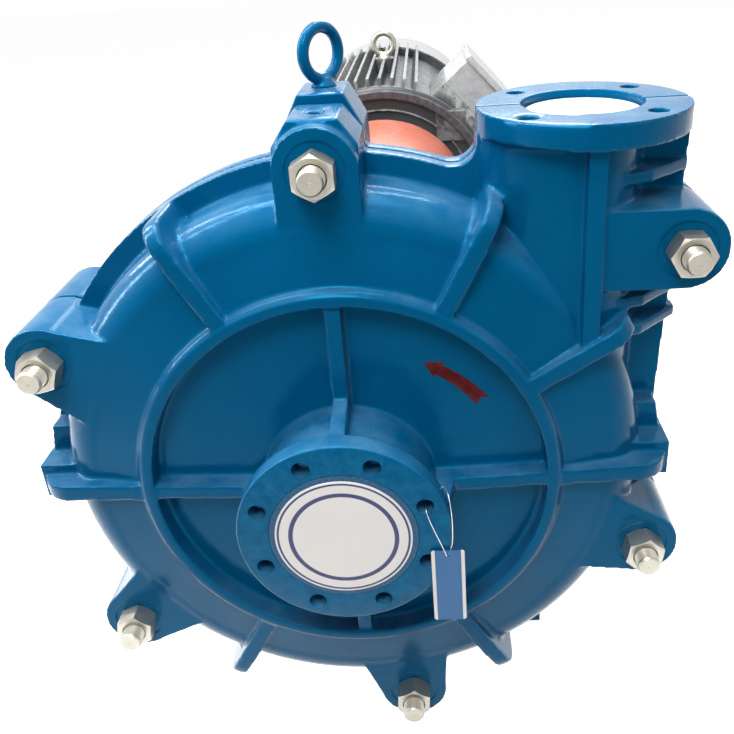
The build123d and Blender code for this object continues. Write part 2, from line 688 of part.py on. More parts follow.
def vane_outline():
    """One backward-swept vane between two arcs, thinner at its outer end."""
    half = VANE_THICKNESS / 2
    mid_r = (VANE_INNER_R + IMPELLER_R) / 2
    end_r = IMPELLER_R - half / 2
    stations = ((VANE_INNER_R, 0.0, half), (mid_r, -VANE_SWEEP * 0.45, half), (end_r, -VANE_SWEEP, half * 0.6))
    lead = [on_circle(r, a + half_width / r * 57.3) for r, a, half_width in stations]
    trail = [on_circle(r, a - half_width / r * 57.3) for r, a, half_width in stations]
    edges = [ThreePointArc(*lead), Line(lead[2], trail[2]), ThreePointArc(*trail), Line(trail[0], lead[0])]
    return make_face(edges)


def vanes(y_front, y_back):
    """All vanes between two places along the shaft."""
    step = 360 / VANE_COUNT
    return [slab(Rot(0, 0, step * k) * vane_outline(), y_front, y_back) for k in range(VANE_COUNT)]


def impeller():
    """Closed impeller: two shrouds, swept vanes, pump-out vanes, eye ring and threaded hub."""
    front = IMPELLER_FRONT_Y + PUMP_OUT_VANE
    back = IMPELLER_BACK_Y - PUMP_OUT_VANE
    thread_y = HUB_BACK_Y - THREAD_LENGTH
    nose_y = thread_y - HUB_WALL
    pieces = [
        ring(IMPELLER_R, EYE_R, front, front + SHROUD_T),
        ring(EYE_RING_R, EYE_R, IMPELLER_FRONT_Y, front + SHROUD_T),
        slab(Circle(IMPELLER_R), back - SHROUD_T, back),
        turned((0, nose_y), (THREAD_R, nose_y), (THREAD_R + HUB_WALL, thread_y), (HUB_R, back - SHROUD_T),
               (HUB_R, HUB_BACK_Y), (0, HUB_BACK_Y)),
    ]
    pieces += vanes(IMPELLER_FRONT_Y, front + SHROUD_T / 2)
    pieces += vanes(front + SHROUD_T / 2, back - SHROUD_T / 2)
    pieces += vanes(back - SHROUD_T / 2, IMPELLER_BACK_Y)
    eye = rod(EYE_R, IMPELLER_FRONT_Y, front + SHROUD_T)
    return fused(pieces) - eye - rod(THREAD_R + FIT_GAP, thread_y, HUB_BACK_Y)


def suction_port_cover():
    """Thin disc over the suction port."""
    return rod(SUCTION_COVER_R, -PORT_COVER_T, 0)


def discharge_port_cover():
    """Thin disc over the discharge port, down in the flange."""
    low = DISCHARGE_TOP_Z - PORT_RECESS
    return post(DISCHARGE_COVER_R, low, low + PORT_COVER_T, DISCHARGE_X, SPLIT_Y)


# Stuffing box

def ear_bar(y_front, y_back, body_r):
    """Round body with an ear for a stud on each side."""
    bar = Rectangle(BOX_EAR_X * 2, BOX_EAR_R * 2) + Circle(body_r)
    for x in (-BOX_EAR_X, BOX_EAR_X):
        bar = bar + Pos(x, 0) * Circle(BOX_EAR_R)
    return slab(bar, y_front, y_back)


def stuffing_box():
    """Box held in the frame plate, with a narrow throat and two ears for the gland studs."""
    start = CAVITY_BACK_Y
    spigot_end = start + BOX_SPIGOT_LENGTH - LINER_GAP
    body = turned((0, start), (BOX_SPIGOT_R - LINER_GAP, start), (BOX_SPIGOT_R - LINER_GAP, spigot_end),
                  (BOX_NECK_R - LINER_GAP, spigot_end), (BOX_NECK_R - LINER_GAP, FRAME_FACE_Y),
                  (BOX_BODY_R, FRAME_FACE_Y + BOX_SPIGOT_LENGTH), (BOX_BODY_R, BOX_END_Y), (0, BOX_END_Y))
    body = body + ear_bar(BOX_END_Y - BOX_EAR_T, BOX_END_Y, BOX_BODY_R)
    body = body - rod(BOX_THROAT_R, start, BOX_END_Y)
    body = body - rod(BOX_BORE_R, start + BOX_THROAT_LENGTH, BOX_END_Y)
    for x in (-BOX_EAR_X, BOX_EAR_X):
        body = body - rod(GLAND_STUD_R + FIT_GAP, BOX_END_Y - BOX_EAR_T, BOX_END_Y, x)
    return body


def lantern_ring():
    """Water ring with a groove inside and outside."""
    outer = BOX_BORE_R - PACKING_GAP
    inner = SLEEVE_R + PACKING_GAP * 2
    land = LANTERN_WIDTH / 4
    groove = (outer - inner) / 3
    y = PACKING_START_Y
    end = y + LANTERN_WIDTH
    return turned((inner, y), (outer, y), (outer, y + land), (outer - groove, y + land), (outer - groove, end - land),
                  (outer, end - land), (outer, end), (inner, end), (inner, end - land), (inner + groove, end - land),
                  (inner + groove, y + land), (inner, y + land))


def packing_rings():
    """Square packing rings behind the lantern ring."""
    start = PACKING_START_Y + LANTERN_WIDTH + PACKING_GAP
    step = PACKING_WIDTH + PACKING_GAP
    rings = []
    for k in range(PACKING_COUNT):
        y = start + step * k
        rings.append(ring(BOX_BORE_R - PACKING_GAP, SLEEVE_R + PACKING_GAP, y, y + PACKING_WIDTH))
    return group(rings)


def gland_halves():
    """Gland follower split through its middle, so that it comes off round the shaft."""
    nose = ring(BOX_BORE_R - PACKING_GAP * 2, SLEEVE_R + PACKING_GAP * 2, GLAND_NOSE_Y, GLAND_FLANGE_Y + PACKING_GAP)
    whole = nose + ear_bar(GLAND_FLANGE_Y, GLAND_FLANGE_Y + GLAND_FLANGE_T, BOX_BODY_R)
    whole = whole - rod(SLEEVE_R + PACKING_GAP * 2, GLAND_NOSE_Y, GLAND_FLANGE_Y + GLAND_FLANGE_T)
    for x in (-BOX_EAR_X, BOX_EAR_X):
        whole = whole - rod(GLAND_STUD_R + LABYRINTH_GAP, GLAND_NOSE_Y, GLAND_FLANGE_Y + GLAND_FLANGE_T, x)
    reach = BOX_EAR_X + BOX_EAR_R + BOX_BODY_R
    end = GLAND_FLANGE_Y + GLAND_FLANGE_T + reach
    upper = whole & block(-reach, reach, GLAND_NOSE_Y - reach, end, GLAND_SPLIT / 2, reach)
    lower = whole & block(-reach, reach, GLAND_NOSE_Y - reach, end, -reach, -GLAND_SPLIT / 2)
    return group([upper, lower])


def gland_studs():
    """Two studs screwed into the ears of the stuffing box."""
    start = BOX_END_Y - BOX_EAR_T
    return group([rod(GLAND_STUD_R, start, start + GLAND_STUD_LENGTH, x) for x in (-BOX_EAR_X, BOX_EAR_X)])


def gland_nuts():
    """Nuts that push the gland in."""
    seat = GLAND_FLANGE_Y + GLAND_FLANGE_T
    sketch = hexagon(GLAND_NUT_AF) - Circle(GLAND_STUD_R + PACKING_GAP)
    return group([slab(Pos(x, 0) * sketch, seat, seat + GLAND_NUT_HEIGHT) for x in (-BOX_EAR_X, BOX_EAR_X)])


# Pump shaft and bearing cartridge

def shaft_sleeve():
    """Wearing sleeve under the packing."""
    return ring(SLEEVE_R, SLEEVE_BORE_R + FIT_GAP, HUB_BACK_Y, HUB_BACK_Y + SLEEVE_LENGTH)


def pump_shaft():
    """Stepped shaft: impeller thread, sleeve seat, bearing seats and the coupling end with its keyway."""
    thread_y = HUB_BACK_Y - THREAD_LENGTH + FIT_GAP
    sleeve_end = HUB_BACK_Y + SLEEVE_LENGTH
    pump_end = PUMP_BEARING_Y + BEARING_WIDTH
    lock_end = DRIVE_BEARING_Y + BEARING_WIDTH + LOCK_NUT_WIDTH
    coupling_y = SHAFT_END_Y - COUPLING_FIT_LENGTH
    neck = SLEEVE_R + RACE_GAP
    body = turned((0, thread_y), (THREAD_R, thread_y), (THREAD_R, HUB_BACK_Y), (SLEEVE_BORE_R, HUB_BACK_Y),
                  (SLEEVE_BORE_R, sleeve_end), (neck, sleeve_end), (neck, PUMP_BEARING_Y),
                  (PUMP_RACE_BORE_R, PUMP_BEARING_Y), (PUMP_RACE_BORE_R, pump_end), (SHAFT_SHOULDER_R, pump_end),
                  (SHAFT_SHOULDER_R, DRIVE_BEARING_Y), (DRIVE_RACE_BORE_R, DRIVE_BEARING_Y),
                  (DRIVE_RACE_BORE_R, lock_end), (SLEEVE_R, lock_end), (SLEEVE_R, coupling_y),
                  (SHAFT_END_R, coupling_y), (SHAFT_END_R, SHAFT_END_Y), (0, SHAFT_END_Y))
    return body - key_block(coupling_y, FIT_GAP, SHAFT_END_R)


def key_block(y_front, gap, shaft_r):
    """Flat key on top of a shaft end, or its keyway when a gap is given."""
    half = KEY_WIDTH / 2 + gap
    return block(-half, half, y_front + KEY_RISE - gap, y_front + KEY_RISE + KEY_LENGTH + gap,
                 shaft_r - KEY_RISE * 1.6 - gap, shaft_r + KEY_RISE + gap)


def pump_shaft_key():
    """Key of the pump half of the coupling."""
    return key_block(SHAFT_END_Y - COUPLING_FIT_LENGTH, 0, SHAFT_END_R)


def outer_race(y, outer_r, wall, width):
    """Plain outer race of a roller bearing."""
    return ring(outer_r - RACE_FIT, outer_r - wall, y, y + width)


def roller_set(y, width, bore_r, inner_r, path_r, roller_r, count):
    """Inner race and its rollers, which stand just clear of the outer race."""
    side = width / 8
    pieces = [ring(inner_r, bore_r + RACE_FIT, y, y + width)]
    for k in range(count):
        x, z = on_circle(path_r, 360 / count * k)
        pieces.append(rod(roller_r, y + side, y + width - side, x, z))
    return group(pieces)


def end_screw_places():
    """(x, z) of the end cover screws."""
    step = 360 / END_SCREW_COUNT
    return [on_circle(END_SCREW_PCD / 2, step * (k + 0.5)) for k in range(END_SCREW_COUNT)]


def bearing_housing():
    """Round cartridge with end flanges, clamp pads on its sides and an adjusting lug below."""
    y0, y1 = HOUSING_START_Y, HOUSING_END_Y
    bore_step = PUMP_BEARING_Y + BEARING_WIDTH
    body = turned((0, y0), (HOUSING_FLANGE_R, y0), (HOUSING_FLANGE_R, y0 + HOUSING_FLANGE_T),
                  (HOUSING_R, y0 + HOUSING_FLANGE_T), (HOUSING_R, y1 - HOUSING_FLANGE_T),
                  (HOUSING_FLANGE_R, y1 - HOUSING_FLANGE_T), (HOUSING_FLANGE_R, y1), (0, y1))
    for saddle_y in FRAME_SADDLES:
        middle = saddle_y + SADDLE_LENGTH / 2
        body = body + block(-CLAMP_PAD_R, CLAMP_PAD_R, middle - CLAMP_PAD_WIDTH / 2, middle + CLAMP_PAD_WIDTH / 2,
                            CRADLE_GAP, CLAMP_PAD_HEIGHT)
    lug_y = (y0 + y1) / 2
    lug_half = ADJUST_NUT_AF * 0.6
    body = body + block(-lug_half, lug_half, lug_y, lug_y + ADJUST_LUG_T, ADJUST_Z - lug_half, -HOUSING_R / 2)
    body = body - rod(RACE_R, y0, bore_step) - rod(RACE_R, DRIVE_BEARING_Y, y1)
    body = body - rod(RACE_R - RACE_WALL / 2, bore_step, DRIVE_BEARING_Y)
    body = body - rod(ADJUST_R + LABYRINTH_GAP, lug_y, lug_y + ADJUST_LUG_T, 0, ADJUST_Z)
    for x, z in end_screw_places():
        body = body - rod(END_SCREW_R + FIT_GAP, y0, y0 + HOUSING_FLANGE_T, x, z)
        body = body - rod(END_SCREW_R + FIT_GAP, y1 - HOUSING_FLANGE_T, y1, x, z)
    return body


def end_cover(side, face_y, bore_r, race_y):
    """Cover at one end of the cartridge, with a spigot that holds the outer race."""
    outer_y = face_y + side * END_COVER_T
    spigot = RACE_R - RACE_GAP
    body = turned((bore_r, outer_y), (HOUSING_FLANGE_R, outer_y), (HOUSING_FLANGE_R, face_y), (spigot, face_y),
                  (spigot, race_y), (spigot - RACE_WALL, race_y), (spigot - RACE_WALL, face_y),
                  (bore_r, face_y))
    for x, z in end_screw_places():
        body = body - rod(END_SCREW_R + FIT_GAP, face_y, outer_y, x, z)
    return body


def pump_end_cover():
    """Cover nearest the impeller."""
    return end_cover(-1, HOUSING_START_Y, SLEEVE_R + LABYRINTH_GAP, PUMP_BEARING_Y)


def drive_end_cover():
    """Cover nearest the coupling."""
    return end_cover(1, HOUSING_END_Y, SLEEVE_R + LABYRINTH_GAP, DRIVE_BEARING_Y + BEARING_WIDTH)


def end_cover_screws():
    """Hexagon screws of both end covers."""
    screws = []
    for face_y, side in ((HOUSING_START_Y, -1), (HOUSING_END_Y, 1)):
        seat = face_y + side * END_COVER_T
        for x, z in end_screw_places():
            head = slab(Pos(x, z) * hexagon(END_SCREW_R * 3), seat, seat + side * END_SCREW_R * 1.4)
            screws.append(head + rod(END_SCREW_R, seat, face_y - side * HOUSING_FLANGE_T * 0.8, x, z))
    return group(screws)


def labyrinth_rings():
    """Flinger rings on the shaft outside both end covers."""
    front = HOUSING_START_Y - END_COVER_T - LABYRINTH_GAP
    back = HOUSING_END_Y + END_COVER_T + LABYRINTH_GAP
    first = ring(LABYRINTH_R, SLEEVE_R + RACE_GAP + RACE_FIT, front - LABYRINTH_WIDTH, front)
    second = ring(LABYRINTH_R, SLEEVE_R + RACE_FIT, back, back + LABYRINTH_WIDTH)
    return group([first, second])


def bearing_lock_nut():
    """Slotted nut that holds the drive-end bearing on the shaft."""
    y = DRIVE_BEARING_Y + BEARING_WIDTH
    nut = ring(LOCK_NUT_R, DRIVE_RACE_BORE_R + RACE_FIT, y, y + LOCK_NUT_WIDTH)
    for angle in (45, 135, 225, 315):
        x, z = on_circle(LOCK_NUT_R, angle)
        nut = nut - slab(Pos(x, z) * Rot(0, 0, angle) * Rectangle(LOCK_NUT_WIDTH, LOCK_NUT_WIDTH / 2),
                         y, y + LOCK_NUT_WIDTH)
    return nut


# Pump frame

def frame_stud_places():
    """(x, z) of the studs between frame plate and pump frame."""
    step = 360 / FRAME_STUD_COUNT
    return [on_circle(FRAME_STUD_PCD / 2, step * k) for k in range(FRAME_STUD_COUNT)]


def leg_outline(inset):
    """Front view of the flared legs, drawn in by a wall."""
    top = RAIL_TOP_HALF - inset
    foot = FRAME_LEG_HALF - inset
    return outline((-top, 0), (top, 0), (foot, BASE_TOP_Z + FRAME_FOOT_T), (-foot, BASE_TOP_Z + FRAME_FOOT_T))


def pump_frame():
    """Pedestal casting: front flange, open barrel, cradle with two saddles, flared legs and feet."""
    start = FRAME_FACE_Y
    leg_start = FRAME_SADDLES[0]
    leg_end = FRAME_SADDLES[1] + SADDLE_LENGTH
    barrel_end = leg_start + SADDLE_LENGTH / 2
    foot_start = leg_start - FRAME_FOOT_T * 2
    foot_end = leg_end + FRAME_FOOT_T * 2
    side_reach = FRAME_FOOT_HALF + FRAME_FLANGE_R
    below = block(-side_reach, side_reach, leg_start, leg_end, -side_reach * 2, 0)
    barrel = ring(FRAME_BARREL_R, FRAME_BARREL_BORE_R, start, leg_start)
    lower_barrel = ring(FRAME_BARREL_R, FRAME_BARREL_BORE_R, leg_start, leg_end) & below
    walls = slab(leg_outline(0) - leg_outline(FRAME_LEG_WALL), leg_start, leg_end)
    webs = [slab(leg_outline(0), y, y + SADDLE_LENGTH) for y in FRAME_SADDLES]
    webs = [web - arch_cut(y) for web, y in zip(webs, FRAME_SADDLES)]
    rails = [slab(leg_outline(0) & Pos(0, -FRAME_LEG_WALL) * Rectangle(side_reach * 2, FRAME_LEG_WALL * 2),
                  leg_start, leg_end)]
    foot = block(-FRAME_FOOT_HALF, FRAME_FOOT_HALF, foot_start, foot_end, BASE_TOP_Z, BASE_TOP_Z + FRAME_FOOT_T)
    foot = foot - block(-FRAME_LEG_HALF / 2, FRAME_LEG_HALF / 2, foot_start + SADDLE_LENGTH * 1.5,
                        foot_end - SADDLE_LENGTH * 1.5, BASE_TOP_Z, BASE_TOP_Z + FRAME_FOOT_T)
    body = fused([ring(FRAME_FLANGE_R, FRAME_BARREL_BORE_R, start, start + FRAME_FLANGE_T), barrel, walls, foot,
                  lower_barrel] + webs + rails)
    window_start = start + FRAME_FLANGE_T * 1.5
    body = body - block(-side_reach, side_reach, window_start, barrel_end - SADDLE_LENGTH, -FRAME_WINDOW_HALF,
                        FRAME_WINDOW_HALF)
    body = body - rod(HOUSING_R + CRADLE_GAP, leg_start, leg_end)
    body = body - rod(FRAME_BARREL_BORE_R, leg_start + SADDLE_LENGTH, FRAME_SADDLES[1])
    lug_y = (HOUSING_START_Y + HOUSING_END_Y) / 2
    slot_half = ADJUST_NUT_AF
    body = body - block(-slot_half, slot_half, leg_start + SADDLE_LENGTH, FRAME_SADDLES[1],
                        -FRAME_BARREL_R - slot_half, 0)
    body = body - rod(ADJUST_R + FIT_GAP, FRAME_SADDLES[1], lug_y + ADJUST_LENGTH, 0, ADJUST_Z)
    for x, z in frame_stud_places():
        body = body - rod(FRAME_STUD_R + LABYRINTH_GAP, start, start + FRAME_FLANGE_T, x, z)
    for x, y in pump_foot_places():
        body = body - post(FOOT_BOLT_R + LABYRINTH_GAP, BASE_TOP_Z, BASE_TOP_Z + FRAME_FOOT_T, x, y)
    for x, y in clamp_places():
        body = body - post(CLAMP_BOLT_R + FIT_GAP, -FRAME_LEG_WALL * 1.5, 0, x, y)
    return body


def arch_cut(y):
    """Arched opening under a saddle."""
    low = BASE_TOP_Z + FRAME_FOOT_T
    half = FRAME_LEG_HALF * 0.55
    spring = low + (SHAFT_HEIGHT - FRAME_BARREL_R) * 0.3
    arch = outline((-half, low), (half, low), (half, spring), (-half, spring)) + Pos(0, spring) * Circle(half)
    keep_clear = Pos(0, 0) * Circle(FRAME_BARREL_R)
    return slab(arch - keep_clear, y, y + SADDLE_LENGTH)


def pump_foot_places():
    """(x, y) of the bolts of the pump frame's feet."""
    return [(x, y) for x in (-BASE_BOLT_X, BASE_BOLT_X) for y in foot_bolt_rows()]


def foot_bolt_rows():
    """Rows of the pump's foot bolts, beside the legs."""
    return (FRAME_SADDLES[0] - FRAME_FOOT_T, FRAME_SADDLES[1] + SADDLE_LENGTH + FRAME_FOOT_T)


def clamp_places():
    """(x, y) of the four clamp bolts."""
    return [(x, y) for x in (-CLAMP_BOLT_X, CLAMP_BOLT_X) for y in PUMP_FEET_Y]


def frame_studs():
    """Studs with nuts that hold the pump frame on the frame plate."""
    studs = []
    seat = FRAME_FACE_Y + FRAME_FLANGE_T
    for x, z in frame_stud_places():
        nut = slab(Pos(x, z) * hexagon(FRAME_STUD_R * 3.2), seat, seat + FRAME_STUD_R * 1.8)
        studs.append(nut + rod(FRAME_STUD_R, FRAME_FACE_Y - FRAME_STUD_R, seat + FRAME_STUD_R * 2.8, x, z))
    return group(studs)


def clamp_washers():
    """Stepped clamps that hold the cartridge down in its cradle."""
    clamps = []
    half = CLAMP_PAD_WIDTH / 2
    level = CLAMP_PAD_HEIGHT + CRADLE_GAP
    for x, y in clamp_places():
        side = 1 if x > 0 else -1
        toe = CLAMP_PAD_R - CLAMP_THICKNESS
        heel = RAIL_TOP_HALF
        foot = CLAMP_BOLT_X + CLAMP_BOLT_R + LABYRINTH_GAP
        bar = block(side * toe, side * heel, y - half, y + half, level, level + CLAMP_THICKNESS)
        bar = bar + block(side * foot, side * heel, y - half, y + half, 0, level)
        clamps.append(bar - post(CLAMP_BOLT_R + LABYRINTH_GAP / 2, 0, level + CLAMP_THICKNESS, x, y))
    return group(clamps)


def clamp_bolts():
    """Bolts through the clamps into the cradle's rails."""
    bolts = []
    seat = CLAMP_PAD_HEIGHT + CRADLE_GAP + CLAMP_THICKNESS
    for x, y in clamp_places():
        head = pillar(Pos(x, y) * hexagon(CLAMP_BOLT_R * 3), seat, seat + CLAMP_BOLT_R * 1.3)
        bolts.append(head + post(CLAMP_BOLT_R, -FRAME_LEG_WALL, seat, x, y))
    return group(bolts)


def adjusting_screw():
    """Stud from the rear saddle through the cartridge's lug."""
    lug_y = (HOUSING_START_Y + HOUSING_END_Y) / 2
    front = lug_y - ADJUST_NUT_HEIGHT * 2
    return rod(ADJUST_R, front, FRAME_SADDLES[1] + ADJUST_R * 2, 0, ADJUST_Z)


def adjusting_nuts():
    """Two nuts that set the cartridge along the shaft."""
    lug_y = (HOUSING_START_Y + HOUSING_END_Y) / 2
    sketch = Pos(0, ADJUST_Z) * (hexagon(ADJUST_NUT_AF) - Circle(ADJUST_R + RACE_GAP))
    first = slab(sketch, lug_y - ADJUST_NUT_HEIGHT, lug_y)
    second = slab(sketch, lug_y + ADJUST_LUG_T, lug_y + ADJUST_LUG_T + ADJUST_NUT_HEIGHT)
    return group([first, second])


# Coupling

def pin_places():
    """(x, z) of the coupling pins."""
    step = 360 / COUPLING_PIN_COUNT
    return [on_circle(COUPLING_PIN_PCD / 2, step * (k + 0.5)) for k in range(COUPLING_PIN_COUNT)]


def coupling_half(face_y, side, length, bore_r, hole_r):
    """Flanged hub on a shaft end; side says which way the hub runs from its face."""
    flange_y = face_y + side * COUPLING_FLANGE_T
    body = turned((bore_r + FIT_GAP, face_y), (COUPLING_FLANGE_R, face_y), (COUPLING_FLANGE_R, flange_y),
                  (COUPLING_HUB_R, flange_y), (COUPLING_HUB_R, face_y + side * length),
                  (bore_r + FIT_GAP, face_y + side * length))
    for x, z in pin_places():
        body = body - rod(hole_r, face_y, flange_y, x, z)
    return body


def pump_coupling_half():
    """Half on the pump shaft, drilled for the rubber bushes."""
    body = coupling_half(SHAFT_END_Y, -1, COUPLING_FIT_LENGTH, SHAFT_END_R, BUSH_R + BUSH_GAP)
    return body - key_block(SHAFT_END_Y - COUPLING_FIT_LENGTH, FIT_GAP, SHAFT_END_R)


def motor_coupling_half():
    """Half on the motor shaft, which carries the pins."""
    body = coupling_half(MOTOR_TIP_Y, 1, MOTOR_SHAFT_EXTENSION - COUPLING_GAP, MOTOR_SHAFT_R,
                         COUPLING_PIN_R + FIT_GAP)
    return body - key_block(MOTOR_TIP_Y + KEY_RISE, FIT_GAP, MOTOR_SHAFT_R)


def coupling_pins():
    """Pins with a retaining head at the front and a nut behind the motor half."""
    front = SHAFT_END_Y - COUPLING_FLANGE_T - PIN_HEAD_T
    back = MOTOR_TIP_Y + COUPLING_FLANGE_T
    pins = []
    for x, z in pin_places():
        head = rod(BUSH_R * 0.8, front - PIN_HEAD_T, front, x, z)
        nut = slab(Pos(x, z) * hexagon(COUPLING_PIN_R * 3.2), back, back + COUPLING_PIN_R * 1.6)
        pins.append(rod(COUPLING_PIN_R, front, back, x, z) + head + nut)
    return group(pins)


def coupling_bushes():
    """Rubber bushes on the pins, inside the pump half."""
    sketch = Circle(BUSH_R) - Circle(COUPLING_PIN_R + FIT_GAP)
    front = SHAFT_END_Y - COUPLING_FLANGE_T - PIN_HEAD_T
    return group([slab(Pos(x, z) * sketch, front, SHAFT_END_Y) for x, z in pin_places()])


def coupling_guard():
    """Arched sheet guard over the coupling, with feet turned out onto the base."""
    inner = GUARD_R - GUARD_SHEET
    low = BASE_TOP_Z
    arch = Circle(GUARD_R) + outline((-GUARD_R, low), (GUARD_R, low), (GUARD_R, 0), (-GUARD_R, 0))
    hollow = Circle(inner) + outline((-inner, low), (inner, low), (inner, 0), (-inner, 0))
    feet = outline((-GUARD_R - GUARD_FOOT, low), (GUARD_R + GUARD_FOOT, low),
                   (GUARD_R + GUARD_FOOT, low + GUARD_SHEET), (-GUARD_R - GUARD_FOOT, low + GUARD_SHEET))
    return slab(arch + feet - hollow, GUARD_START_Y, GUARD_START_Y + GUARD_LENGTH)


# Motor

def motor_foot_places():
    """(x, y) of the motor's foot bolts."""
    return [(x, y) for x in (-FOOT_HOLE_X, FOOT_HOLE_X) for y in MOTOR_FEET_Y]


def fin_angles():
    """Angles of the cooling fins, left out over the feet and the terminal box."""
    angles = []
    clear = 26.0
    for k in range(int(360 / FIN_STEP)):
        angle = k * FIN_STEP
        over_feet = 212.0 < angle < 328.0
        over_box = abs(angle - TERMINAL_ANGLE) < clear
        if not over_feet and not over_box:
            angles.append(angle)
    return angles


def motor_frame():
    """Finned motor shell with its feet."""
    y0, y1 = MOTOR_BODY_Y, MOTOR_BACK_Y
    section = Circle(MOTOR_SHELL_R)
    middle = (MOTOR_SHELL_R + FIN_TIP_R - FIN_WIDTH) / 2
    fin = Rectangle(FIN_TIP_R - MOTOR_SHELL_R + FIN_WIDTH, FIN_WIDTH)
    for angle in fin_angles():
        section = section + Rot(0, 0, angle) * Pos(middle, 0) * fin
    body = slab(section, y0, y1)
    for y in MOTOR_FEET_Y:
        for side in (-1, 1):
            x_in = side * (FOOT_HOLE_X - FOOT_HALF_WIDTH)
            x_out = side * (FOOT_HOLE_X + FOOT_HALF_WIDTH)
            low = -MOTOR_HEIGHT
            leg = outline((x_in / 2, low), (x_out, low), (x_out, low + FOOT_T), (x_in, low + FOOT_T * 2),
                          (x_in * 1.1, 0), (x_in / 2, 0))
            body = body + slab(leg, y - FOOT_LENGTH / 2, y + FOOT_LENGTH / 2)
    box_pad = turned_to(TERMINAL_ANGLE) * block(
        MOTOR_SHELL_R - MOTOR_SHELL_WALL / 2, FIN_TIP_R, y0 + TERMINAL_SETBACK, y0 + TERMINAL_SETBACK + TERMINAL_LENGTH,
        -TERMINAL_HEIGHT / 2, TERMINAL_HEIGHT / 2)
    body = body + box_pad
    eye_y = motor_eye_y()
    body = body + post(MOTOR_EYE[2] + FIN_WIDTH, MOTOR_SHELL_R - MOTOR_SHELL_WALL / 2, FIN_TIP_R, 0, eye_y)
    body = body - rod(MOTOR_SHELL_R - MOTOR_SHELL_WALL, y0, y1)
    body = body - post(MOTOR_EYE[1] + FIT_GAP, FIN_TIP_R - EYE_SHANK, FIN_TIP_R, 0, eye_y)
    for x, y in motor_foot_places():
        body = body - post(FOOT_BOLT_R + LABYRINTH_GAP, -MOTOR_HEIGHT, 0, x, y)
        body = body - post(FOOT_BOLT_HEAD_R + LABYRINTH_GAP, FOOT_T - MOTOR_HEIGHT, 0, x, y)
    return body


def motor_eye_y():
    """Place of the motor's lifting eye along the shaft."""
    return MOTOR_BODY_Y + MOTOR_BODY_LENGTH / 2


def motor_shield(side, face_y):
    """Dished end shield with a bearing seat; side says which way it points."""
    outer_y = face_y + side * SHIELD_T
    rim_y = face_y + side * SHIELD_T * 0.6
    spigot = MOTOR_SHELL_R - MOTOR_SHELL_WALL - LINER_GAP
    bore = MOTOR_ROTOR_R + LABYRINTH_GAP
    seat_y = face_y - side * MOTOR_RACE_WIDTH / 2
    return turned((bore, outer_y), (SHIELD_HUB_R, outer_y), (SHIELD_HUB_R + SHIELD_T, rim_y), (SHIELD_R - FIN_WIDTH, rim_y),
                  (SHIELD_R, rim_y - side * FIN_WIDTH), (SHIELD_R, face_y), (spigot, face_y), (spigot, seat_y),
                  (SHIELD_HUB_R + SHIELD_T, seat_y), (SHIELD_HUB_R, seat_y), (MOTOR_RACE_R, seat_y),
                  (MOTOR_RACE_R, seat_y + side * MOTOR_RACE_WIDTH), (bore, seat_y + side * MOTOR_RACE_WIDTH))


def motor_front_shield():
    """Shield at the coupling end, with four square bolting ears."""
    body = motor_shield(-1, MOTOR_BODY_Y)
    ear = Rectangle(SHIELD_EAR_HALF * 2, SHIELD_EAR_HALF * 2)
    ears = [Pos(x, z) * ear for x in (-SHIELD_EAR_CENTRE, SHIELD_EAR_CENTRE)
            for z in (-SHIELD_EAR_CENTRE, SHIELD_EAR_CENTRE)]
    return fused([body] + [slab(shape, MOTOR_BODY_Y - SHIELD_T * 0.75, MOTOR_BODY_Y) for shape in ears])


def motor_rear_shield():
    """Shield under the cowl."""
    return motor_shield(1, MOTOR_BACK_Y)


def motor_race_places():
    """Front faces of the two motor bearings."""
    half = MOTOR_RACE_WIDTH / 2
    return (MOTOR_BODY_Y - half, MOTOR_BACK_Y - half)


def motor_shaft():
    """Motor shaft from the coupling end to the fan."""
    fan_y = fan_start_y()
    body = turned((0, MOTOR_TIP_Y), (MOTOR_SHAFT_R, MOTOR_TIP_Y), (MOTOR_SHAFT_R, MOTOR_FACE_Y),
                  (MOTOR_ROTOR_R, MOTOR_FACE_Y), (MOTOR_ROTOR_R, fan_y), (MOTOR_SHAFT_R, fan_y),
                  (MOTOR_SHAFT_R, fan_y + FAN_WIDTH), (0, fan_y + FAN_WIDTH))
    return body - key_block(MOTOR_TIP_Y + KEY_RISE, FIT_GAP, MOTOR_SHAFT_R)


def fan_start_y():
    """Front face of the fan hub."""
    return MOTOR_BACK_Y + SHIELD_T + MOTOR_RACE_WIDTH


def motor_shaft_key():
    """Key of the motor half of the coupling."""
    return key_block(MOTOR_TIP_Y + KEY_RISE, 0, MOTOR_SHAFT_R)


def motor_outer_races():
    """Outer races of both motor bearings."""
    wall = RACE_WALL
    return group([outer_race(y, MOTOR_RACE_R, wall, MOTOR_RACE_WIDTH) for y in motor_race_places()])


def motor_inner_races():
    """Inner races and rollers of both motor bearings."""
    inner = MOTOR_ROTOR_R + RACE_WALL
    space = MOTOR_RACE_R - RACE_WALL - inner
    sets = []
    for y in motor_race_places():
        sets += roller_set(y, MOTOR_RACE_WIDTH, MOTOR_ROTOR_R, inner, inner + space / 2, space / 2 - RACE_GAP,
                           MOTOR_ROLLERS).solids()
    return Compound(children=sets)


def rotor_core():
    """Laminated rotor on the motor shaft."""
    return ring(STATOR_BORE_R - AIR_GAP, MOTOR_ROTOR_R + RACE_FIT, CORE_Y, CORE_Y + CORE_LENGTH)


def stator_core():
    """Laminated stator held in the motor shell."""
    outer = MOTOR_SHELL_R - MOTOR_SHELL_WALL - FIT_GAP
    return ring(outer, STATOR_BORE_R, CORE_Y, CORE_Y + CORE_LENGTH)


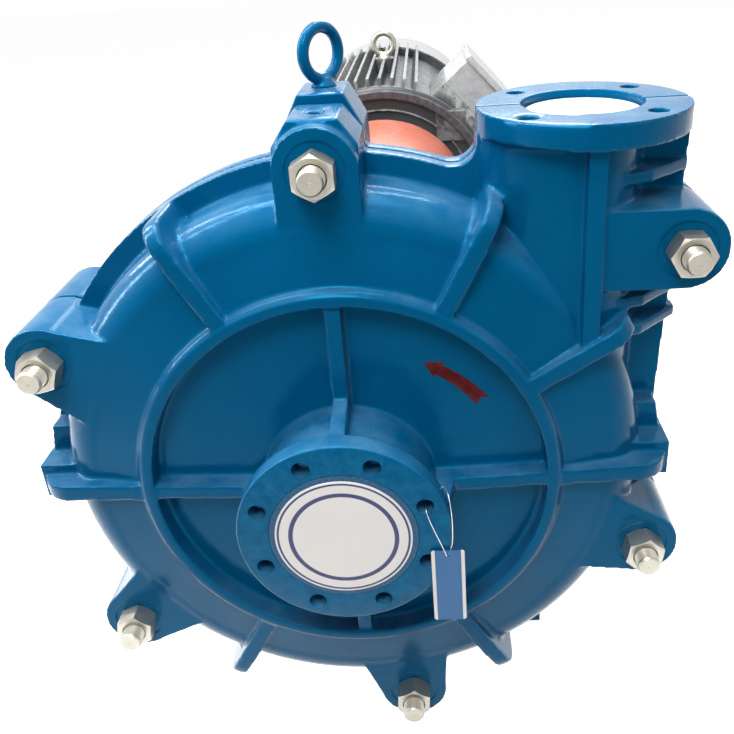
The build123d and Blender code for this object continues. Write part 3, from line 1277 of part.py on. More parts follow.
def stator_windings():
    """Coil ends at both faces of the stator."""
    outer = MOTOR_SHELL_R - MOTOR_SHELL_WALL * 2
    inner = STATOR_BORE_R + AIR_GAP * 4
    first = ring(outer, inner, CORE_Y - WINDING_LENGTH, CORE_Y)
    second = ring(outer, inner, CORE_Y + CORE_LENGTH, CORE_Y + CORE_LENGTH + WINDING_LENGTH)
    return group([first, second])


def cooling_fan():
    """Radial fan on the rear end of the motor shaft."""
    y0 = fan_start_y()
    y1 = y0 + FAN_WIDTH
    disc = ring(FAN_R, MOTOR_SHAFT_R + RACE_FIT, y0, y0 + FIN_WIDTH)
    body = disc + ring(FAN_HUB_R, MOTOR_SHAFT_R + RACE_FIT, y0, y1)
    blade = outline((FAN_HUB_R - FIN_WIDTH, -FIN_WIDTH / 2), (FAN_R, -FIN_WIDTH / 2), (FAN_R, FIN_WIDTH / 2),
                    (FAN_HUB_R - FIN_WIDTH, FIN_WIDTH / 2))
    for k in range(FAN_BLADES):
        body = body + slab(Rot(0, 0, 360 / FAN_BLADES * k) * blade, y0, y1)
    return body


def fan_cowl():
    """Sheet cowl over the fan, slotted at its end for the air."""
    y0 = COWL_Y
    y1 = y0 + COWL_LENGTH
    inner = COWL_R - COWL_SHEET
    edge = COWL_SHEET * 8
    body = turned((COWL_R, y0), (COWL_R, y1 - edge), (COWL_R - edge, y1), (0, y1), (0, y1 - COWL_SHEET),
                  (inner - edge, y1 - COWL_SHEET), (inner, y1 - COWL_SHEET - edge), (inner, y0))
    for inner_r, outer_r in ((FAN_HUB_R, FAN_R * 0.62), (FAN_R * 0.68, FAN_R)):
        middle = (inner_r + outer_r) / 2
        slot = Pos(middle, 0) * Rectangle(outer_r - inner_r, FIN_WIDTH)
        for k in range(COWL_SLOTS):
            body = body - slab(Rot(0, 0, 360 / COWL_SLOTS * k) * slot, y1 - COWL_SHEET, y1)
    return body


def terminal_box():
    """Open box on the side of the motor."""
    y0 = MOTOR_BODY_Y + TERMINAL_SETBACK
    y1 = y0 + TERMINAL_LENGTH
    half = TERMINAL_HEIGHT / 2
    wall = TERMINAL_WALL
    body = block(FIN_TIP_R, TERMINAL_FACE_R, y0, y1, -half, half)
    body = body - block(FIN_TIP_R + wall, TERMINAL_FACE_R, y0 + wall, y1 - wall, -half + wall, half - wall)
    return turned_to(TERMINAL_ANGLE) * body


def terminal_lid():
    """Lid of the terminal box."""
    y0 = MOTOR_BODY_Y + TERMINAL_SETBACK - TERMINAL_WALL
    y1 = y0 + TERMINAL_LENGTH + TERMINAL_WALL * 2
    half = TERMINAL_HEIGHT / 2 + TERMINAL_WALL
    plate = block(TERMINAL_FACE_R, TERMINAL_FACE_R + TERMINAL_LID_T, y0, y1, -half, half)
    plate = chamfer(plate.faces().sort_by(Axis.X)[-1].edges(), TERMINAL_LID_T / 2)
    return turned_to(TERMINAL_ANGLE) * plate


def motor_eyebolt():
    """Lifting eye on top of the motor."""
    return Pos(0, motor_eye_y(), FIN_TIP_R) * eyebolt(*MOTOR_EYE)


# Base

def anchor_places():
    """(x, y) of the holding-down holes in the rails' lower flanges."""
    rows = (BASE_START_Y + ANCHOR_INSET, BASE_START_Y + BASE_LENGTH - ANCHOR_INSET)
    return [(x, y) for x in (-BASE_BOLT_X, BASE_BOLT_X) for y in rows]


def rail_section(side):
    """Channel section that opens towards the middle of the base."""
    outer = side * (BASE_BOLT_X + CHANNEL_WIDTH - CHANNEL_LIP)
    lip = side * (BASE_BOLT_X - CHANNEL_LIP)
    web = outer - side * CHANNEL_WEB_T
    top, low = BASE_TOP_Z, BASE_BOTTOM_Z
    return outline((outer, low), (outer, top), (lip, top), (lip, top - CHANNEL_FLANGE_T), (web, top - CHANNEL_FLANGE_T),
                   (web, low + CHANNEL_FLANGE_T), (lip, low + CHANNEL_FLANGE_T), (lip, low))


def base_rails():
    """Two channel rails under pump and motor."""
    rails = []
    for side in (-1, 1):
        rail = slab(rail_section(side), BASE_START_Y, BASE_START_Y + BASE_LENGTH)
        for x, y in anchor_places():
            rail = rail - post(ANCHOR_HOLE_R, BASE_BOTTOM_Z, BASE_BOTTOM_Z + CHANNEL_FLANGE_T, x, y)
        for x, y in pump_foot_places():
            rail = rail - post(FOOT_BOLT_R + FIT_GAP, BASE_TOP_Z - CHANNEL_FLANGE_T, BASE_TOP_Z, x, y)
        rails.append(rail)
    return group(rails)


def base_cross_members():
    """Channels across the base, welded between the webs of the rails."""
    reach = BASE_BOLT_X + CHANNEL_WIDTH - CHANNEL_LIP - CHANNEL_WEB_T
    low = BASE_BOTTOM_Z + CHANNEL_FLANGE_T
    high = BASE_TOP_Z - CHANNEL_FLANGE_T
    members = []
    for place in CROSS_PLACES:
        y = BASE_START_Y + place
        bar = block(-reach, reach, y, y + CROSS_WIDTH, low, high)
        hollow = block(-reach, reach, y + CHANNEL_WEB_T, y + CROSS_WIDTH, low + CHANNEL_WEB_T, high - CHANNEL_WEB_T)
        members.append(bar - hollow)
    return group(members)


def motor_pedestals():
    """Two hollow beams that raise the motor's feet to shaft height."""
    top = -MOTOR_HEIGHT
    y0 = MOTOR_FEET_Y[0] - FOOT_LENGTH
    y1 = MOTOR_FEET_Y[1] + FOOT_LENGTH
    beams = []
    for side in (-1, 1):
        x_in = side * (FOOT_HOLE_X - PEDESTAL_WIDTH / 2)
        x_out = side * (FOOT_HOLE_X + PEDESTAL_WIDTH / 2)
        beam = block(x_in, x_out, y0, y1, BASE_TOP_Z, top)
        hollow = block(x_in + side * PEDESTAL_WALL, x_out - side * PEDESTAL_WALL, y0, y1,
                       BASE_TOP_Z + PEDESTAL_WALL, top - FOOT_T)
        beam = beam - hollow
        for x, y in motor_foot_places():
            beam = beam - post(FOOT_BOLT_R + FIT_GAP, top - FOOT_T, top, x, y)
        beams.append(beam)
    return group(beams)


def foot_bolt(x, y, seat, length):
    """Hexagon bolt standing in a foot."""
    head = pillar(Pos(x, y) * hexagon(FOOT_BOLT_HEAD_R * 2 * 0.9), seat, seat + FOOT_BOLT_HEAD_T)
    return head + post(FOOT_BOLT_R, seat - length, seat, x, y)


def foot_bolts():
    """Bolts of the pump's and the motor's feet."""
    pump_seat = BASE_TOP_Z + FRAME_FOOT_T
    motor_seat = FOOT_T - MOTOR_HEIGHT
    bolts = [foot_bolt(x, y, pump_seat, FRAME_FOOT_T + CHANNEL_FLANGE_T) for x, y in pump_foot_places()]
    bolts += [foot_bolt(x, y, motor_seat, FOOT_T * 2) for x, y in motor_foot_places()]
    return group(bolts)


def pump_end_outer_race():
    """Outer race of the bearing nearest the impeller."""
    return outer_race(PUMP_BEARING_Y, RACE_R, RACE_WALL, BEARING_WIDTH)


def drive_end_outer_race():
    """Outer race of the bearing nearest the coupling."""
    return outer_race(DRIVE_BEARING_Y, RACE_R, RACE_WALL, BEARING_WIDTH)


def pump_end_inner_race():
    """Inner race and rollers of the bearing nearest the impeller."""
    return roller_set(PUMP_BEARING_Y, BEARING_WIDTH, PUMP_RACE_BORE_R, INNER_RACE_R, ROLLER_PATH_R, ROLLER_R,
                      ROLLER_COUNT)


def drive_end_inner_race():
    """Inner race and rollers of the bearing nearest the coupling."""
    return roller_set(DRIVE_BEARING_Y, BEARING_WIDTH, DRIVE_RACE_BORE_R, INNER_RACE_R, ROLLER_PATH_R, ROLLER_R,
                      ROLLER_COUNT)


PIECES = (
    cover_plate, frame_plate, cover_bolts, cover_nuts, lifting_eye, volute_liner, throatbush, back_liner, impeller,
    suction_port_cover, discharge_port_cover, stuffing_box, lantern_ring, packing_rings, gland_halves, gland_studs,
    gland_nuts, shaft_sleeve, pump_shaft, pump_shaft_key, pump_end_outer_race, pump_end_inner_race,
    drive_end_outer_race, drive_end_inner_race, bearing_lock_nut, bearing_housing, pump_end_cover, drive_end_cover,
    end_cover_screws, labyrinth_rings, pump_frame, frame_studs, clamp_washers, clamp_bolts, adjusting_screw,
    adjusting_nuts, pump_coupling_half, motor_coupling_half, coupling_pins, coupling_bushes, coupling_guard,
    motor_frame, motor_front_shield, motor_rear_shield, motor_shaft, motor_shaft_key, motor_outer_races,
    motor_inner_races, rotor_core, stator_core, stator_windings, cooling_fan, fan_cowl, terminal_box, terminal_lid,
    motor_eyebolt, base_rails, base_cross_members, motor_pedestals, foot_bolts,
)

os.makedirs("parts", exist_ok=True)
for make in PIECES:
    export_step(make(), "parts/" + make.__name__ + ".step")
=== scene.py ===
import json
from math import atan2, cos, degrees, pi, radians, sin

import bmesh
import bpy
from bpy.props import FloatProperty, FloatVectorProperty, IntProperty, PointerProperty
from bpy.types import Operator, Panel, PropertyGroup
from mathutils import Matrix, Vector
from mathutils.bvhtree import BVHTree


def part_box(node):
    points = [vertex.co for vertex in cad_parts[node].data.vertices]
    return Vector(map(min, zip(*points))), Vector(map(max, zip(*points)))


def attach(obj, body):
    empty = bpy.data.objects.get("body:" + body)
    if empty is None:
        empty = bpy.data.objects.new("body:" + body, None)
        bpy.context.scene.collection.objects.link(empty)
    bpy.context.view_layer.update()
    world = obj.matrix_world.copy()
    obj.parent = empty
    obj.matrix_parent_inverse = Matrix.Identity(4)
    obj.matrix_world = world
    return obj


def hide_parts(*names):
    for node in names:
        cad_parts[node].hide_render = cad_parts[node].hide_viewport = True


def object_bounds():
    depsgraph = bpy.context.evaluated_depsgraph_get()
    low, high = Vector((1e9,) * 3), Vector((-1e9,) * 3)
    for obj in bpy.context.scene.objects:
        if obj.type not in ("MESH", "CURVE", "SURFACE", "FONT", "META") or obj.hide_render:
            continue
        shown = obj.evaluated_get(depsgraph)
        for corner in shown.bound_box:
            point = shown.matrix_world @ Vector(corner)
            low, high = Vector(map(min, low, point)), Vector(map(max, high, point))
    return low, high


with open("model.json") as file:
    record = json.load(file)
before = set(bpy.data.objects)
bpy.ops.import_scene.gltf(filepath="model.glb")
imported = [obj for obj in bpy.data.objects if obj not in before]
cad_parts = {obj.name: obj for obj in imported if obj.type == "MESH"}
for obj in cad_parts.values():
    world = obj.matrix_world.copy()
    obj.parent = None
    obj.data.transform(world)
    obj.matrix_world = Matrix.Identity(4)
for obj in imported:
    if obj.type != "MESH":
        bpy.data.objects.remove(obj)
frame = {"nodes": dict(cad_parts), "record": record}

bl_info = {
    "name": "Slurry pump set",
    "version": (1, 0, 0),
    "blender": (4, 5, 0),
    "location": "3D View > Sidebar > Pump",
    "description": "Dresses the slurry pump set: castings, fasteners, coupling, motor, base and stage",
    "category": "Object",
}

NODES = frame["nodes"]
CAD_BOX = [list(corner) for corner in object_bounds()]
BODY_OF = {name: body for body, names in frame["record"]["behaviour"]["bodies"].items() for name in names}

# Cover bolts, in metres and degrees
BOLT_CIRCLE = 0.365
FIRST_BOLT = 90.8
BOLT_STEP = 62.6
CORNER_BOLT = (0.368, 0.265)
NUT_TURNS = (30.0, 12.0, 22.0, 26.0, 20.0, 0.0)
SPOT_FACE_R = 0.031
SPOT_FACE_REACH = (0.07, 0.33)

# Suction flange; cutters are (radius, start, end)
FLANGE_R = 0.1145
FLANGE_T = 0.024
FLANGE_BORE = 0.0801
FLANGE_RIM = 0.0025
FLANGE_CUT = (0.16, -0.02, 0.020)
SUCTION_HOLE_CIRCLE = 0.09525
SUCTION_HOLES = 8
SUCTION_HOLE = (0.0095, -0.01, 0.03)

# Discharge flange and the tapped hole beside it
DISCHARGE = (0.271, 0.2)
DISCHARGE_HOLE_CIRCLE = 0.090
DISCHARGE_HOLES = 4
DISCHARGE_HOLE = (0.010, 0.377, 0.42)
DISCHARGE_FLANGE_LOW = 0.372
DISCHARGE_FIRM_SQUARE = 0.0137
TOP_TAP = (0.007, 0.39, 0.44)
TOP_TAP_PLACE = (-0.0051, 0.154)
UPWARD = (0.0, 0.0, 1.0)

# Ribs: which ends are rounded, and the block that lowers the rear one
RIB_ANGLES = (61.5, 120.0, 240.0, 300.0)
RIB_HALF_ANGLE = 4.2
RIB_ROUND_FROM = 0.322
RIM_FACE_Y = 0.174
TRIMMED_RIB = 120.0
TRIM_SIZE = (0.06, 0.11, 0.045)
TRIM_FROM = (0.347, 0.2225)

# Chamfers of nuts and heads, as shares, and details of the bolts
CHAMFER_FACE = 0.97
CHAMFER_DEPTH = 0.16
CHAMFER_SLOPE = 1.75
NUT_CLEARANCE = 0.0002
COUNTERSINK = 0.0014
CUTTER_PAST = 0.002
DIMPLE = (0.0021, 0.0012)
TIP_CHAMFER = 0.0019
THREAD_START = 0.0026
CREST_SHARE = 0.25
ROOT_SHARE = 0.6

# Rotation arrow: turns of tail, head and tip, then (middle radius, half width) and the radii of the head
ARROW_TURNS = (31.6, 52.0, 58.3)
ARROW_STEPS = 9
ARROW_NOTCH = 1.8
ARROW_TAIL = (0.1827, 0.0082)
ARROW_NECK = (0.1750, 0.0064)
ARROW_INNER, ARROW_TIP, ARROW_OUTER = 0.1645, 0.1743, 0.1860

# Hang tag
TAG_MIDDLE = 0.109
TAG_HALF = 0.0178
TAG_TOP = -0.020
TAG_LOW = -0.118
TAG_FRONT = -0.0038
TAG_CORNER = 0.003
TAG_HOLE_R = 0.0022
TAG_HOLE_DROP = 0.006
TAG_BLUE_SHARE = 0.8
TAG_HOLE_TURN = 22.5

# Raised rings on the motor's front shield: inner radius, outer radius, height
SHIELD_RINGS = ((0.226, 0.2455, 0.011), (0.198, 0.204, 0.005))
SHIELD_FACE_Y = 1.200
RING_SINK = 0.002

# Stage
FLOOR_DROP = 0.0005
FLOOR_LIT = (0.3, 0.3, 0.3, 1.0)
FLOOR_SEEN = (0.75, 0.75, 0.75, 1.0)
FLOOR_GLOW = 0.72
STRIP_WIDTH = 0.12
STRIP_HEIGHT = 2.2
PUMP_AIM = (0.0, 0.2, 0.1)
# Lamps: name, place, aim, width, height, power setting, share of that power
LAMPS = (
    ("top_lamp", (-0.2, 0.1, 2.4), (0.1, 0.25, 0.0), 1.5, 1.5, "top", 1.0),
    ("key_lamp", (-0.2, -1.0, 1.75), PUMP_AIM, 0.7, 0.7, "key", 1.0),
    ("long_lamp", (-0.3, 0.9, 2.5), PUMP_AIM, 3.0, STRIP_WIDTH, "strip", 1.5),
    ("left_lamp", (-2.0, 0.2, 1.1), PUMP_AIM, STRIP_WIDTH, STRIP_HEIGHT, "strip", 1.0),
    ("far_left_lamp", (-1.7, 1.0, 1.7), PUMP_AIM, STRIP_WIDTH, STRIP_HEIGHT, "strip", 1.0),
    ("back_lamp", (0.2, 4.2, 2.6), (0.1, 0.25, 0.1), 1.8, 1.8, "back", 1.0),
    ("fill_lamp", (2.4, -1.6, 1.0), (0.0, 0.2, 0.0), 1.8, 1.8, "fill", 1.0),
)
CAMERA_PLACE = (0.11053, -0.68089, 0.58122)
CAMERA_RIGHT = Vector((0.99849, 0.01056, -0.05409))
CAMERA_UP = Vector((0.04395, 0.43954, 0.89717))
CAMERA_FORWARD = Vector((-0.03325, 0.8982, -0.4384))
SENSOR_WIDTH = 36.0


def colour_prop(label, about, value):
    """Colour setting shown as a swatch."""
    return FloatVectorProperty(name=label, description=about, subtype="COLOR", size=3, min=0.0, max=1.0,
                               default=value)


def length_prop(label, about, value):
    """Length setting in scene units."""
    return FloatProperty(name=label, description=about, default=value, min=0.0, unit="LENGTH", precision=5)


def power_prop(label, about, value):
    """Lamp power setting in watts."""
    return FloatProperty(name=label, description=about, default=value, unit="POWER")


class PaintSettings(PropertyGroup):
    """Colours of the painted and printed surfaces."""

    blue: colour_prop("Blue", "Main colour of the painted castings", (0.0003, 0.086, 0.205))
    # Deep blue: darker paint tone for the random mottle, also the painted shade in hollow corners.
    blue_deep_and_shade: colour_prop("Deep blue", "Paint where it lies thick in corners", (0.0002, 0.068, 0.166))
    # Bright blue: painted highlight along edges, partly also paint rubbed thin there.
    blue_edge_light_and_wear: colour_prop("Bright blue", "Paint rubbed thin on edges", (0.02, 0.20, 0.38))
    blue_gloss: colour_prop("Gloss tint", "Tint of the paint's gloss seen straight on", (0.02, 0.5, 0.9))
    # Pale blue-white for faces that look up: partly dust, partly painted sheen from light above.
    dust_and_sheen: colour_prop("Dust_and_sheen", "Fine dust on level faces", (0.30, 0.52, 0.66))
    orange: colour_prop("Guard orange", "Coupling guard", (0.68, 0.16, 0.085))
    motor: colour_prop("Motor grey", "Motor shell and fins", (0.11, 0.115, 0.12))
    shield: colour_prop("Shield grey", "Motor end shields", (0.050, 0.053, 0.056))
    cowl: colour_prop("Cowl grey", "Fan cowl and terminal box", (0.36, 0.365, 0.37))
    arrow: colour_prop("Arrow red", "Rotation arrow", (0.10, 0.011, 0.014))
    cover: colour_prop("Cover white", "Port covers", (0.84, 0.81, 0.78))
    cover_ring: colour_prop("Ring blue", "Rings printed on the suction cover", (0.008, 0.016, 0.11))
    card: colour_prop("Card blue", "Middle of the hang tag", (0.012, 0.115, 0.30))


class CastingSettings(PropertyGroup):
    """How the castings are softened."""

    grid: length_prop("Grid", "Size of the grid that rounds the castings", 0.0020)
    passes: IntProperty(name="Passes", description="Smoothing passes over the castings", default=5, min=0)
    end_passes: IntProperty(name="End passes", description="More passes over the rib ends", default=34, min=0)
    most_triangles: IntProperty(name="Most triangles", description="Limit for one casting", default=185000,
                                min=1000)
    edge: length_prop("Edge", "Rounding of machined and welded edges", 0.0012)


class FastenerSettings(PropertyGroup):
    """Sizes of the cover bolts and nuts."""

    flats: length_prop("Flats", "Width of the nuts across flats", 0.042)
    nut_height: length_prop("Nut height", "Height of the nuts", 0.026)
    head_height: length_prop("Head height", "Height of the bolt heads", 0.017)
    radius: length_prop("Bolt radius", "Radius over the thread", 0.0134)
    pitch: length_prop("Pitch", "Distance between thread crests", 0.003)
    thread_depth: length_prop("Thread depth", "Depth of the thread", 0.0014)


class TrimSettings(PropertyGroup):
    """Port cover rings, arrow and hang tag."""

    thin_ring: length_prop("Thin ring", "Radius of the thin ring", 0.0697)
    thin_half: length_prop("Thin half width", "Half the width of the thin ring", 0.0013)
    thick_ring: length_prop("Thick ring", "Radius of the thick ring", 0.0563)
    thick_half: length_prop("Thick half width", "Half the width of the thick ring", 0.0027)
    arrow_t: length_prop("Arrow thickness", "Thickness of the arrow", 0.0008)
    tag_t: length_prop("Tag thickness", "Thickness of the hang tag", 0.0012)
    wire_r: length_prop("Wire radius", "Radius of the tag's wire", 0.0004)


class StageSettings(PropertyGroup):
    """Camera, floor and lamps."""

    lens: FloatProperty(name="Lens", description="Focal length for a 36 mm sensor", default=40.34, min=1.0)
    shift_x: FloatProperty(name="Shift X", description="Sideways shift of the view", default=-0.0609)
    shift_y: FloatProperty(name="Shift Y", description="Upward shift of the view", default=-0.0603)
    floor: FloatProperty(name="Floor", description="Half the width of the floor", default=14.0, unit="LENGTH")
    sky: FloatProperty(name="Sky", description="Light from all round", default=0.35, min=0.0)
    top: power_prop("Top lamp", "Power of the lamp overhead", 50.0)
    key: power_prop("Key lamp", "Power of the lamp in front", 28.0)
    back: power_prop("Back lamp", "Power of the lamp behind", 85.0)
    strip: power_prop("Strips", "Power of a narrow lamp", 30.0)
    fill: power_prop("Fill lamp", "Power of the lamp at the right", 10.0)


# Node tree helpers

def plug(tree, value, into):
    """Links a socket, or sets a value, on an input."""
    if isinstance(value, bpy.types.NodeSocket):
        tree.links.new(value, into)
    else:
        into.default_value = value


def add_node(tree, kind, inputs=None, **settings):
    """New node with its settings and inputs filled in."""
    made = tree.nodes.new(kind)
    for key, value in settings.items():
        setattr(made, key, value)
    for key, value in (inputs or {}).items():
        plug(tree, value, made.inputs[key])
    return made


def rgba(colour):
    """Colour with full opacity."""
    return (colour[0], colour[1], colour[2], 1.0)


def mixed(tree, factor, first, second):
    """Colour between two others."""
    made = add_node(tree, "ShaderNodeMix", data_type="RGBA")
    plug(tree, factor, made.inputs[0])
    plug(tree, first, made.inputs[6])
    plug(tree, second, made.inputs[7])
    return made.outputs[2]


def maths(tree, operation, first, second=0.0):
    """Result of one sum."""
    made = add_node(tree, "ShaderNodeMath", {0: first, 1: second}, operation=operation)
    return made.outputs[0]


def ranged(tree, value, low, high, to_low=0.0, to_high=1.0):
    """Value carried from one range to another, and kept inside it."""
    made = add_node(tree, "ShaderNodeMapRange", {"Value": value, "From Min": low, "From Max": high,
                                                 "To Min": to_low, "To Max": to_high})
    return made.outputs["Result"]


def noise(tree, vector, scale, detail=3.0, roughness=0.55):
    """Soft noise over a vector."""
    made = add_node(tree, "ShaderNodeTexNoise", {"Vector": vector, "Scale": scale, "Detail": detail,
                                                 "Roughness": roughness})
    return made.outputs["Fac"]


def place_on_object(tree):
    """Object coordinates."""
    return add_node(tree, "ShaderNodeTexCoord").outputs["Object"]


def parted(tree, vector):
    """X, Y and Z of a vector."""
    return add_node(tree, "ShaderNodeSeparateXYZ", {0: vector}).outputs


def seen_ray(tree):
    """One for rays from the camera, gloss or glass, else zero."""
    rays = add_node(tree, "ShaderNodeLightPath").outputs
    clear = maths(tree, "MAXIMUM", rays["Is Glossy Ray"], rays["Is Transmission Ray"])
    return maths(tree, "MAXIMUM", rays["Is Camera Ray"], clear)


def new_group(name, inputs, outputs):
    """Empty shader group with float sockets; gives its tree, input node and output node."""
    tree = bpy.data.node_groups.new(name, "ShaderNodeTree")
    for label, value in inputs:
        made = tree.interface.new_socket(name=label, in_out="INPUT", socket_type="NodeSocketFloat")
        made.default_value = value
    for label in outputs:
        tree.interface.new_socket(name=label, in_out="OUTPUT", socket_type="NodeSocketFloat")
    return tree, tree.nodes.new("NodeGroupInput"), tree.nodes.new("NodeGroupOutput")


def grain_group():
    """Cast grain: a height for bump, a slow mottle and a fine speckle."""
    if "Cast grain" in bpy.data.node_groups:
        return bpy.data.node_groups["Cast grain"]
    tree, ins, outs = new_group("Cast grain", (("Coarse", 140.0), ("Fine", 620.0)),
                                ("Height", "Mottle", "Speckle"))
    spot = place_on_object(tree)
    coarse = noise(tree, spot, ins.outputs["Coarse"], 4.0, 0.6)
    fine = noise(tree, spot, ins.outputs["Fine"], 2.0)
    height = maths(tree, "ADD", maths(tree, "MULTIPLY", coarse, 0.7), maths(tree, "MULTIPLY", fine, 0.3))
    plug(tree, height, outs.inputs["Height"])
    plug(tree, ranged(tree, noise(tree, spot, 7.0, 4.0), 0.3, 0.7), outs.inputs["Mottle"])
    plug(tree, ranged(tree, fine, 0.45, 0.62), outs.inputs["Speckle"])
    return tree


def wear_highlight_and_shade_group():
    """Edge and corner masks: rubbed edges, which also stand for painted highlights, and hollow corners, which
    take painted shade.
    """
    if "Edge wear" in bpy.data.node_groups:
        return bpy.data.node_groups["Edge wear"]
    tree, ins, outs = new_group("Edge wear", (("Start", 0.52), ("End", 0.60), ("Breakup", 60.0)),
                                ("Edges", "Corners"))
    sharp = add_node(tree, "ShaderNodeNewGeometry").outputs["Pointiness"]
    broken = ranged(tree, noise(tree, place_on_object(tree), ins.outputs["Breakup"], 5.0, 0.65), 0.35, 0.6)
    edges = ranged(tree, sharp, ins.outputs["Start"], ins.outputs["End"])
    plug(tree, maths(tree, "MULTIPLY", edges, broken), outs.inputs["Edges"])
    # Corners: painted shade where the surface is hollow.
    plug(tree, ranged(tree, sharp, 0.49, 0.42), outs.inputs["Corners"])
    return tree


def dust_and_sheen_group():
    """Dust and painted sheen: a patchy mask that lightens faces that look up."""
    if "Level dust" in bpy.data.node_groups:
        return bpy.data.node_groups["Level dust"]
    tree, ins, outs = new_group("Level dust", (("Least", 0.35), ("Most", 1.0), ("Patches", 22.0)), ("Dust_and_sheen",))
    facing = parted(tree, add_node(tree, "ShaderNodeNewGeometry").outputs["Normal"])["Z"]
    up = ranged(tree, facing, ins.outputs["Least"], ins.outputs["Most"])
    patches = ranged(tree, noise(tree, place_on_object(tree), ins.outputs["Patches"], 5.0, 0.6), 0.3, 0.7)
    plug(tree, maths(tree, "MULTIPLY", up, patches), outs.inputs["Dust_and_sheen"])
    return tree


class Finish:
    """Material being made: its tree and its shader."""

    def __init__(self, name):
        self.material = bpy.data.materials.new(name)
        self.material.use_nodes = True
        self.tree = self.material.node_tree
        self.shader = next(n for n in self.tree.nodes if n.type == "BSDF_PRINCIPLED")

    def group(self, tree, **values):
        """Places a node group with its own values."""
        made = self.tree.nodes.new("ShaderNodeGroup")
        made.node_tree = tree
        for key, value in values.items():
            made.inputs[key].default_value = value
        return made.outputs

    def set(self, **values):
        """Sets or links sockets of the shader; underscores stand for spaces."""
        for key, value in values.items():
            plug(self.tree, value, self.shader.inputs[key.replace("_", " ")])

    def shine(self, mask, low, high):
        """Roughness between two values, by a mask."""
        self.set(Roughness=ranged(self.tree, mask, 0.0, 1.0, low, high))

    def bump(self, height, strength, distance):
        """Bump from a height."""
        made = add_node(self.tree, "ShaderNodeBump",
                        {"Height": height, "Strength": strength, "Distance": distance})
        self.set(Normal=made.outputs["Normal"])


def paint(name, main, deep_and_shade, edge_light_and_wear, coarse=95.0, fine=420.0, strength=0.34, distance=0.0009,
          shine=(0.12, 0.24), sheen_and_dust_share=0.14, coat=0.0, tint=(1.0, 1.0, 1.0)):
    """Gloss paint over a cast or welded surface."""
    made = Finish(name)
    tree = made.tree
    grain = made.group(grain_group(), Coarse=coarse, Fine=fine)
    wear_highlight_and_shade = made.group(wear_highlight_and_shade_group())
    dust_and_sheen = made.group(dust_and_sheen_group())
    colour = mixed(tree, grain["Mottle"], rgba(deep_and_shade), rgba(main))
    # Painted shade: hollow corners darkened towards the deep colour.
    colour = mixed(tree, maths(tree, "MULTIPLY", wear_highlight_and_shade["Corners"], 0.6), colour, rgba(deep_and_shade))
    # Painted highlight along edges in the bright colour, partly also rubbed paint.
    colour = mixed(tree, maths(tree, "MULTIPLY", wear_highlight_and_shade["Edges"], 0.7), colour, rgba(edge_light_and_wear))
    # Faces that look up lightened: partly dust, partly painted sheen.
    sheen_and_dust_mask = maths(tree, "MULTIPLY", dust_and_sheen["Dust_and_sheen"], sheen_and_dust_share)
    colour = mixed(tree, sheen_and_dust_mask, colour, rgba(bpy.context.scene.pump_paint.dust_and_sheen))
    made.set(Base_Color=colour, Coat_Weight=coat, Coat_Roughness=0.12, Specular_IOR_Level=0.3,
             Specular_Tint=rgba(tint))
    made.shine(grain["Speckle"], *shine)
    made.bump(grain["Height"], strength, distance)
    return made.material


def metal(name, light, dark, shine=(0.24, 0.42), coarse=90.0, fine=900.0, strength=0.15, plating=1.0):
    """Bare or plated metal with a faint grain."""
    made = Finish(name)
    tree = made.tree
    grain = made.group(grain_group(), Coarse=coarse, Fine=fine)
    wear_highlight_and_shade = made.group(wear_highlight_and_shade_group())
    colour = mixed(tree, grain["Mottle"], rgba(dark), rgba(light))
    # Painted shade: hollow corners darkened towards a dark copy of the metal colour.
    corner_shade = rgba([c * 0.45 for c in dark])
    colour = mixed(tree, maths(tree, "MULTIPLY", wear_highlight_and_shade["Corners"], 0.5), colour, corner_shade)
    made.set(Base_Color=colour, Metallic=plating,
             Roughness=ranged(tree, grain["Height"], 0.35, 0.65, shine[0], shine[1]))
    made.bump(grain["Height"], strength, 0.0006)
    return made.material


def matt(name, light, dark, shine=(0.5, 0.75), coarse=220.0, fine=1400.0, strength=0.4):
    """Plastic, rubber, fibre or card with its own grain."""
    made = Finish(name)
    tree = made.tree
    grain = made.group(grain_group(), Coarse=coarse, Fine=fine)
    colour = mixed(tree, grain["Mottle"], rgba(dark), rgba(light))
    made.set(Base_Color=colour)
    made.shine(grain["Speckle"], *shine)
    made.bump(grain["Height"], strength, 0.0005)
    return made.material


def radius_round(tree, centre):
    """Distance from an axis along the shaft through a place in X and Z."""
    apart = parted(tree, place_on_object(tree))
    x = maths(tree, "SUBTRACT", apart["X"], centre[0])
    z = maths(tree, "SUBTRACT", apart["Z"], centre[1])
    square = maths(tree, "ADD", maths(tree, "MULTIPLY", x, x), maths(tree, "MULTIPLY", z, z))
    return maths(tree, "SQRT", square)


def ringed_cover(name):
    """White sheet with two printed rings and a few creases."""
    settings = bpy.context.scene.pump_trim
    colours = bpy.context.scene.pump_paint
    made = Finish(name)
    tree = made.tree
    radius = radius_round(tree, (0.0, 0.0))
    rings = []
    for place, half in ((settings.thin_ring, settings.thin_half),
                        (settings.thick_ring, settings.thick_half)):
        away = maths(tree, "ABSOLUTE", maths(tree, "SUBTRACT", radius, place))
        rings.append(ranged(tree, away, half, half * 0.8))
    grain = made.group(grain_group(), Coarse=18.0, Fine=300.0)
    white = mixed(tree, grain["Mottle"], rgba([c * 0.93 for c in colours.cover]), rgba(colours.cover))
    colour = mixed(tree, maths(tree, "MAXIMUM", rings[0], rings[1]), white, rgba(colours.cover_ring))
    made.set(Base_Color=colour)
    made.shine(grain["Speckle"], 0.32, 0.45)
    made.bump(grain["Height"], 0.25, 0.001)
    return made.material


